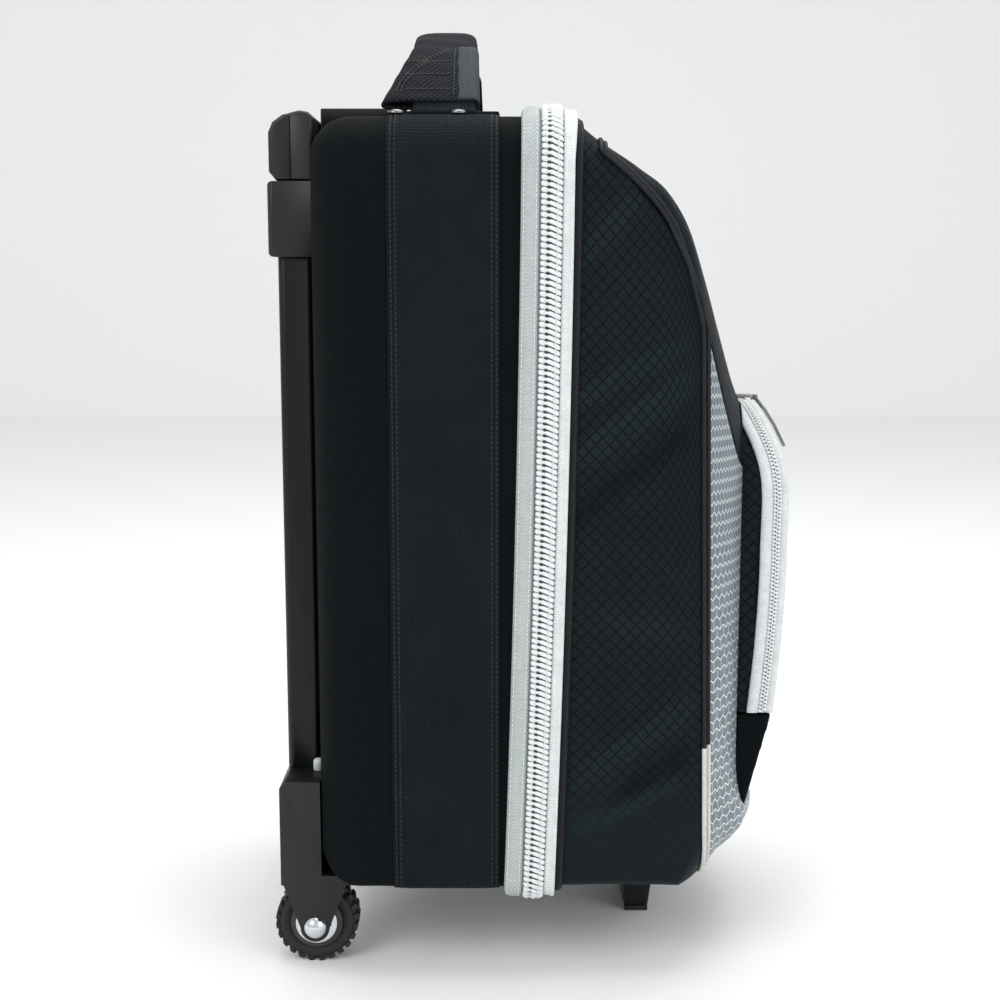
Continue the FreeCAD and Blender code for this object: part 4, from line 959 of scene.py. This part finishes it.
def arch_band(name, profile):
    """A band along the pocket's sides and top: profile is (back from the front, rise) points."""
    rows = arch()
    grid = np.stack([np.stack([np.maximum(pocket_front_x(rows[:, 1]) - b,
                                          crown_x(rows[:, 0], rows[:, 1]) + 0.2),
                               rows[:, 0] + rows[:, 2] * r, rows[:, 1] + rows[:,
                                       3] * r], 1) for b, r in profile], 1)
    sides, count = len(profile), len(rows)
    length = np.concatenate([[0], np.cumsum(np.linalg.norm(np.diff(rows[:, :2], axis=0), axis=1))]) * 0.001
    girth = 0.02 + np.arange(sides + 1) * 0.0012
    faces = [(i * sides + j, i * sides + (j + 1) % sides, (i + 1) * sides + (j + 1) % sides,
              (i + 1) * sides + j)
             for i in range(count - 1) for j in range(sides)]
    uvs = [((length[i], girth[j]), (length[i], girth[j + 1]), (length[i + 1], girth[j + 1]),
            (length[i + 1], girth[j]))
           for i in range(count - 1) for j in range(sides)]
    for i in (0, count - 1):
        faces.append(tuple(i * sides + j for j in range(sides)))
        uvs.append(tuple((length[i], girth[j]) for j in range(sides)))
    return new_object(name, grid.reshape(-1, 3), faces, uvs)


for name, node, body, profile in (
        ("Pocket_zipper_tape_wall_side", "pocket_zip_gusset", "lid",
         [(20.0, 0.1), (20.0, 1.5), (19.0, 2.4), (16.0, 2.8), (12.6, 2.2), (11.8, 1.2), (9.0, 1.2),
          (9.0, 0.1)]),
        ("Pocket_zipper_tape_front_side", "pocket_zip_flap", "pocket_front",
         [(8.6, 0.1), (8.6, 1.2), (5.6, 1.2), (4.8, 2.0), (2.6, 2.2), (1.2, 1.6), (0.6, 0.1)])):
    tape = arch_band(name, profile)
    tape.data.materials.append(tape_white)
    rows = arch(side_steps=160, bend_steps=60, top_steps=80)
    path = np.stack([pocket_front_x(rows[:, 1]) - 8.8, rows[:, 0], rows[:, 1]], 1)
    ups = np.stack([0 * rows[:, 0], rows[:, 2], rows[:, 3]], 1)
    spots, along, up = path_steps(path, ups, 2.8)
    spots = spots + up * 1.3
    if body == "pocket_front":
        spots = spots + along / np.linalg.norm(along, axis=1)[:, None] * 1.4
    reach_way = np.cross(up, along)[:, 0].mean() * (-1 if body == "pocket_front" else 1)
    turned = facing(along if reach_way > 0 else -along, up)
    small = coil_loop(name + " loop", 3.0, 0.4)
    small.data.transform(Matrix.Diagonal((0.72, 1.0, 0.62, 1.0)))
    coil = repeated(name + "_coil", spots, turned, small, coil_white, 0.02)
    for part, spot in ((tape, "zip_tape"), (coil, "zip_coil")):
        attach(part, body)
    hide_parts(node)


# ------------------------------------------------------------------------------------------------
# Pocket toe: a firm twill wedge under the pocket that carries its lower edge into the crown.
def plain_copy(node):
    """A copy of a designed part's shape, free of its body, with doubled corners merged."""
    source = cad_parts[node]
    me = source.data.copy()
    me.transform(source.matrix_world)
    me.materials.clear()
    bm = bmesh.new()
    bm.from_mesh(me)
    bmesh.ops.remove_doubles(bm, verts=bm.verts, dist=0.00002)
    bmesh.ops.dissolve_limit(bm, angle_limit=math.radians(1.5), verts=bm.verts, edges=bm.edges)
    bm.to_mesh(me)
    bm.free()
    obj = bpy.data.objects.new(node, me)
    bpy.context.scene.collection.objects.link(obj)
    return obj


def applied(obj):
    """Makes the object's modifiers permanent."""
    graph = bpy.context.evaluated_depsgraph_get()
    plain = bpy.data.meshes.new_from_object(obj.evaluated_get(graph))
    obj.modifiers.clear()
    obj.data = plain
    return obj


def wrapped_uv(obj):
    """Lays flat coordinates in metres on each face from the side it looks to."""
    me = obj.data
    layer = me.uv_layers.new(name="Flat cut") if not me.uv_layers else me.uv_layers[0]
    for face in me.polygons:
        axis = max(range(3), key=lambda i: abs(face.normal[i]))
        first, second = ((2, 1), (2, 0), (1, 0))[axis]
        for loop in face.loop_indices:
            spot = me.vertices[me.loops[loop].vertex_index].co
            layer.data[loop].uv = (spot[first], spot[second])


def softened(node, name, voxel, rounds, finish, body):
    """A foam or padded part: the designed shape with its corners rounded off."""
    obj = plain_copy(node)
    obj.name = name
    remesh = obj.modifiers.new("Even", "REMESH")
    remesh.mode, remesh.voxel_size = "VOXEL", voxel * 0.001
    smooth = obj.modifiers.new("Round", "SMOOTH")
    smooth.iterations = rounds
    applied(obj)
    obj.data.polygons.foreach_set("use_smooth", [True] * len(obj.data.polygons))
    wrapped_uv(obj)
    obj.data.materials.clear()
    obj.data.materials.append(finish)
    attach(obj, body)
    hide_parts(node)
    return obj


def edged(node, name, finish, body, radius=0.8, angle=30):
    """A hard part: the designed shape with its edges broken."""
    obj = plain_copy(node)
    obj.name = name
    bevel = obj.modifiers.new("Edges", "BEVEL")
    bevel.width, bevel.segments, bevel.limit_method = radius * 0.001, 2, "ANGLE"
    bevel.angle_limit = math.radians(angle)
    bevel.harden_normals = True
    applied(obj)
    obj.data.polygons.foreach_set("use_smooth", [True] * len(obj.data.polygons))
    obj.data.set_sharp_from_angle(angle=math.radians(35))
    obj.data.materials.clear()
    obj.data.materials.append(finish)
    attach(obj, body)
    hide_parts(node)
    return obj


toe = softened("pocket_toe", "Pocket_toe", 2.0, 6, black_twill, "lid")
for vertex in toe.data.vertices:
    low = min(max((0.182 - vertex.co.z) / 0.070, 0), 1)
    ahead = min(max((vertex.co.x - 0.148) / 0.014, 0), 1)
    vertex.co.x -= 0.009 * low * ahead * (abs(vertex.co.y) / 0.096) ** 3


# ------------------------------------------------------------------------------------------------
# Carry handle: a padded twill sleeve that flares towards its ends, a flat strap inside it and two
# nickel rivets through the tab at each end.
def sleeve_rows(n=90):
    """Places along the arch: angle, x limits and depth of the sleeve."""
    a = np.linspace(-0.905, 0.905, n)
    share = np.abs(a) / 0.905
    flare = np.clip((share - 0.45) / 0.55, 0, 1) ** 1.4
    return a, -88.5 - 19.0 * flare, -44.5 + 1.5 * flare, 15.0 - 5.0 * np.clip((share - 0.8) / 0.2, 0, 1) ** 2


def sleeve_place(a, x, depth):
    """A point at an angle along the arch, a place across it and a depth from its outer face."""
    r = 157.5 - depth
    return np.stack(np.broadcast_arrays(x, r * np.sin(a), 517.5 + r * np.cos(a)), -1)


a, left, right, thick = sleeve_rows()
around_n = 48
angle = np.linspace(0, 2 * math.pi, around_n, endpoint=False)
cx, sx = np.cos(angle), np.sin(angle)
ex = np.sign(cx) * np.abs(cx) ** 0.5
ez = np.sign(sx) * np.abs(sx) ** 0.62
x = (left + right)[:, None] / 2 + (right - left)[:, None] / 2 * ex
depth = thick[:, None] / 2 * (1 - ez)
outer = sleeve_place(a[:, None], x, depth + 0.35 * np.sin(a[:, None] * 47 + x / 9))
inner = sleeve_place(a[:, None], (left + right)[:, None] / 2 + ((right - left)[:, None] / 2 - 2.5) * ex,
                     thick[:, None] / 2 - (thick[:, None] / 2 - 2.5) * ez)
girth = np.concatenate([np.zeros((len(a), 1)),
                        np.cumsum(np.linalg.norm(np.diff(np.concatenate([outer, outer[:, :1]], 1), axis=1),
                                                 axis=2), 1)], 1)
uv = np.stack(np.broadcast_arrays((a * 150)[:, None] * 0.001, girth * 0.001), -1)
# Coarse black twill for the handle
handle_twill = twill_cloth("Coarse black twill", "#08090b", "#2c2f33", pitch=0.0030, depth=0.0008)
sleeve = sewn_solid("Carry_handle_sleeve", outer, inner, uv)
sleeve.data.materials.append(handle_twill)
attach(sleeve, "rear_body")
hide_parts("handle_sleeve")

# Grey nylon lining seen on the handle's flank
lining = twill_cloth("Grey nylon lining", "#2b2e31", "#55595c", pitch=0.0020)
flap_a = np.linspace(-0.90, -0.50, 24)[:, None]
x = np.array([-57.0, -55.5, -51.0, -46.0, -43.2, -42.2])[None]
deep = np.array([0.6, -0.5, -0.6, -0.4, 1.2, 5.5])[None]
wide = np.clip((np.abs(flap_a) / 0.905 - 0.45) / 0.55, 0, 1) ** 1.4 * 1.5
outer = sleeve_place(flap_a, x + wide, deep)
inner = sleeve_place(flap_a, x + wide - 0.6, deep + 1.4)
uv = np.stack(np.broadcast_arrays(np.concatenate([flap_a, flap_a], 0)[:24] * 0.15, x * 0.001), -1)
for flip in (1, -1):
    mirror = np.array([1, flip, 1])
    flank = sewn_solid("Handle_lining_%d" % flip, outer * mirror, inner * mirror, uv, wrap=False)
    flank.data.materials.append(lining)
    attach(flank, "rear_body")
seams = []
for flip in (-1, 1):
    curve_a = flip * np.linspace(0.86, 0.52, 60)
    t = np.linspace(0, 1, 60)
    for shift in (0.0, 3.0):
        seams.append((sleeve_place(curve_a, -97 + 34 * t ** 1.6 + shift, -0.1),
                      sleeve_place(curve_a, -60.0, -1.0) - sleeve_place(curve_a, -60.0, 0.0)))
    for x in (-58.6, -47.5):
        curve_a = flip * np.linspace(0.88, 0.52, 60)
        seams.append((sleeve_place(curve_a, x, -0.3),
                      sleeve_place(curve_a, x, -1.0) - sleeve_place(curve_a, x, 0.0)))
    for level in (0.84, 0.74, 0.64):
        x = np.linspace(-92, -60, 30)
        row = sleeve_place(np.full(30, flip * level), x, -0.15)
        seams.append((row, sleeve_place(np.full(30, flip * level), x,
                                        -1.0) - sleeve_place(np.full(30, flip * level), x, 0.0)))
stitching("Handle_thread", seams, 3.4, 0.9, thread_black, "rear_body")

softened("handle_strap", "Handle_strap", 1.4, 3, nylon_black, "rear_body")
# Bright nickel
nickel = blank("Bright nickel plating", 0.22, 1.0, "#7c7e80")[0]
bpy.ops.mesh.primitive_uv_sphere_add(segments=24, ring_count=12, radius=0.0062)
dome = bpy.context.object
dome.data.transform(Matrix.Diagonal((1, 1, 0.42, 1)))
dome.data.polygons.foreach_set("use_smooth", [True] * len(dome.data.polygons))
places = [(x, y, 606.6) for x in (-97.0, -55.0) for y in (-124.0, 124.0)]
rivets = repeated("Strap_rivets", places, [(0.1, 0, 0), (-0.1, 0, 0)] * 2, dome, nickel, 0.0)
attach(rivets, "rear_body")
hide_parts("strap_rivets")


# ------------------------------------------------------------------------------------------------
# Tow handle: moulded housings, a grip in two halves with its button, and three pairs of tubes.
def moulded(name, tone, rough, grain=900.0):
    """Injection-moulded plastic with a fine spark-eroded grain."""
    made, tree, surface = blank(name, rough, tone=tone, Specular_IOR_Level=0.45)
    spot = add(tree, "ShaderNodeTexCoord").outputs["Object"]
    fuzz = add(tree, "ShaderNodeTexNoise", Vector=spot, Scale=grain, Detail=2.0).outputs[0]
    bumped(tree, surface, fuzz, 0.00008, 0.5)
    return made


# Black polypropylene
black_plastic = moulded("Black polypropylene", "#030608", 0.42)
# Black anodised aluminium
tube_black = blank("Black anodised aluminium", 0.36, 0.5, "#0a0e11")[0]
# Clear anodised aluminium
tube_bright = blank("Clear anodised aluminium", 0.28, 1.0, "#b9bdc0")[0]
# Pale grey nylon
pale_nylon = moulded("Pale grey nylon", "#c4cacb", 0.45)
for side in ("near", "far"):
    edged("lock_housing_" + side, "Lock_housing_" + side, black_plastic, "rear_body", 1.8)
    for node, finish, spot, body in (("outer_tube_", tube_black, "tube_dark", "rear_body"),
                                     ("middle_tube_", tube_bright, "tube_bright", "middle_stage"),
                                     ("inner_tube_", tube_bright, "tube_bright", "grip_stage")):
        edged(node + side, node.capitalize() + side, finish, body, 0.2)
edged("housing_tie_bar", "Housing_tie_bar", black_plastic, "rear_body", 1.2)
edged("top_bracket", "Top_bracket", black_plastic, "rear_body", 1.0)
edged("grip_rear_half", "Grip_rear_half", black_plastic, "grip_stage", 0.5)
edged("grip_front_half", "Grip_front_half", black_plastic, "grip_stage", 0.5)
edged("release_button", "Release_button", black_plastic, "button", 0.8)


# ------------------------------------------------------------------------------------------------
# Wheels and chassis: a moulded foot and fork at each lower corner, a lugged rubber tyre on a hub,
# a chromed disc and a domed rivet axle.
chrome = blank("Polished chrome plating", 0.08, 1.0, "#d4d6d8")[0]
rubber = moulded("Black moulded rubber", "#101113", 0.6, 500.0)
hub_grey = moulded("Dark grey hub nylon", "#2b2d30", 0.5)
AXLE = (-161.5, 30.0)
for side, label in ((-1, "near"), (1, "far")):
    edged("wheel_chassis_" + label, "Wheel_chassis_" + label, black_plastic, "rear_body",
          1.6)
    edged("axle_" + label, "Axle_" + label, chrome, "rear_body", 0.2)
    edged("hub_" + label, "Hub_" + label, hub_grey, "wheel_" + label, 0.4)
    edged("hub_disc_" + label, "Hub_disc_" + label, chrome, "wheel_" + label, 0.3)
    y_mid = side * 107.0
    turn = np.linspace(0, 2 * math.pi, 144, endpoint=False)
    profile = [(-12.0, 19.1), (-12.0, 25.0), (-11.4, 26.6), (-9.6, 27.5), (-4.0, 27.9), (0.0, 28.0),
               (4.0, 27.9), (9.6, 27.5),
               (11.4, 26.6), (12.0, 25.0), (12.0, 19.1)]
    grid = np.array([[(AXLE[0] + r * math.cos(b), y_mid + y, AXLE[1] + r * math.sin(b)) for y,
                      r in profile] for b in turn])
    sides, count = len(profile), len(turn)
    faces = [(i * sides + j, i * sides + (j + 1) % sides, (i + 1) % count * sides + (j + 1) % sides,
              (i + 1) % count * sides + j)
             for i in range(count) for j in range(sides)]
    body_part = new_object("Tyre body", grid.reshape(-1, 3), faces)
    body_part.data.materials.append(rubber)
    places, turned = [], []
    for i in range(24):
        b = 2 * math.pi * (i + 0.5) / 24
        for half in (-1, 1):
            shift = b + half * math.pi / 48 * 1.0
            out = Vector((math.cos(shift), 0, math.sin(shift)))
            along = Vector((-math.sin(shift) * 0.35, half * 1.0, math.cos(shift) * 0.35)).normalized()
            places.append((AXLE[0] + 27.4 * out.x, y_mid + half * 5.9, AXLE[1] + 27.4 * out.z))
            z = out
            y = z.cross(along).normalized()
            x = y.cross(z)
            turned.append(list(Matrix((x, y, z)).transposed().to_euler()))
    bpy.ops.mesh.primitive_cube_add(size=1)
    lug = bpy.context.object
    lug.data.transform(Matrix.Translation((0, 0, 0.0010)) @ Matrix.Diagonal((0.0115, 0.0046, 0.0034, 1)))
    rounding = lug.modifiers.new("Edges", "BEVEL")
    rounding.width, rounding.segments = 0.0009, 2
    applied(lug)
    lugs = repeated("Tyre_lugs_" + label, places, turned, lug, rubber, 0.0)
    bpy.ops.object.select_all(action="DESELECT")
    body_part.select_set(True)
    lugs.select_set(True)
    bpy.context.view_layer.objects.active = lugs
    bpy.ops.object.join()
    lugs.name = "Tyre_" + label
    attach(lugs, "wheel_" + label)
    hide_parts("tyre_" + label)
edged("tube_plugs", "Tube_plugs", pale_nylon, "rear_body", 0.8)
steel = blank("Zinc-plated steel", 0.35, 1.0, "#9a9da0")[0]
edged("chassis_screws", "Chassis_screws", steel, "rear_body", 0.2)
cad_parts["button_spring"].data.materials.clear()
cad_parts["button_spring"].data.materials.append(steel)


# ------------------------------------------------------------------------------------------------
# Small lid fittings: the folded webbing tab on top, the moulded front foot with its rubber sole,
# and the metal sliders and pulls of both zippers.
softened("top_tab", "Top_tab", 0.9, 3, nylon_black, "lid")
edged("front_foot", "Front_foot", black_plastic, "lid", 1.5)
edged("foot_sole", "Foot_sole", rubber, "lid", 0.6)
edged("foot_screws", "Foot_screws", steel, "lid", 0.2)
edged("main_slider", "Main_slider", nickel, "zip_slider", 0.4)
edged("main_pull", "Main_pull", nickel, "zip_pull", 0.4)
edged("pocket_slider", "Pocket_slider", nickel, "pocket_zip_slider", 0.4)
edged("pocket_puller", "Pocket_puller", nickel, "pocket_pull", 0.4)


# ------------------------------------------------------------------------------------------------
# Fabric hinge: one double strip of twill from top to bottom of the far side, sewn along both of
# its edges, built fixed in place.
z = np.linspace(99.0, 575.0, 120)
profile = np.array([(-17.5, 7.1), (-16.5, 8.3), (-9.0, 9.0), (-3.0, 9.3), (0.0, 9.35), (3.0, 9.3),
                    (8.0, 9.0), (13.0, 8.3), (13.8, 7.1)])
outer = np.stack([np.stack([zip_x(z) + off, HALF_W + rise + 0 * z, z], 1) for off, rise in profile], 1)
inner = outer.copy()
inner[..., 1] -= 1.4
inner[:, (0, -1), 1] += 0.7
uv = np.stack(np.broadcast_arrays(z[:, None] * 0.001, profile[:, 0][None] * 0.001), -1)
hinge = sewn_solid("Fabric_hinge", outer, inner, uv, wrap=False)
hinge.data.materials.append(black_twill)
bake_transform(hinge)
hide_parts("hinge_strip_rear", "hinge_strip_front")


# ------------------------------------------------------------------------------------------------
# Inside: board behind the balls, board on the floor, and a foam cradle and padded shelf that keep
# the two balls apart.
board = moulded("Black polyethylene board", "#232427", 0.55, 300.0)
foam = moulded("Charcoal polyethylene foam", "#3a3c40", 0.9, 260.0)
edged("back_board", "Back_board", board, "rear_body", 0.6)
edged("base_board", "Base_board", board, "rear_body", 0.6)
softened("ball_cradles", "Ball_cradles", 3.0, 5, foam, "rear_body")
softened("ball_shelf", "Ball_shelf", 2.5, 5, foam, "rear_body")


# ------------------------------------------------------------------------------------------------
# Studio: a pale seamless floor, a broad soft key from the upper left, a fill and a rim, and the
# camera a little above the middle of the bag.
world = bpy.data.worlds.new("Studio")
bpy.context.scene.world = world
world.use_nodes = True
world.node_tree.nodes["Background"].inputs[0].default_value = colour("#f4f5f6")
world.node_tree.nodes["Background"].inputs[1].default_value = 0.9
floor_paint = blank("Matt white floor", 0.9, tone="#f2f2f2", Specular_IOR_Level=0.1)[0]
bpy.ops.mesh.primitive_plane_add(size=12, location=(0, 1.5, 0))
floor = bpy.context.object
floor.name = "Floor"
floor.data.materials.append(floor_paint)
bpy.ops.mesh.primitive_plane_add(size=12, location=(0, 4.2, 3), rotation=(math.radians(90), 0, 0))
backdrop = bpy.context.object
backdrop.name = "Backdrop"
backdrop.data.materials.append(floor_paint)
for name, place, power, size, tint in (("Key", (-1.5, -1.9, 1.9), 26, 1.4, "#ffffff"),
                                       ("Fill", (1.7, -1.6, 1.2), 15, 1.6, "#f6f8ff"),
                                       ("Top", (0.2, 0.3, 2.4), 30, 1.8, "#ffffff")):
    lamp = bpy.data.lights.new(name, "AREA")
    lamp.energy, lamp.size, lamp.color = power, size, colour(tint)[:3]
    light = bpy.data.objects.new(name, lamp)
    light.location = place
    light.rotation_euler = (Vector((0, 0, 0.33)) - Vector(place)).to_track_quat("-Z", "Y").to_euler()
    bpy.context.scene.collection.objects.link(light)
lens = bpy.data.cameras.new("Camera")
lens.lens, lens.sensor_width = 54.0, 36.0
camera = bpy.data.objects.new("Camera", lens)
camera.location = (-0.0274, -1.1588, 0.4979)
camera.rotation_euler = (math.radians(81.5), 0, 0)
bpy.context.scene.collection.objects.link(camera)
bpy.context.scene.camera = camera
bpy.context.scene.view_settings.view_transform = "Standard"
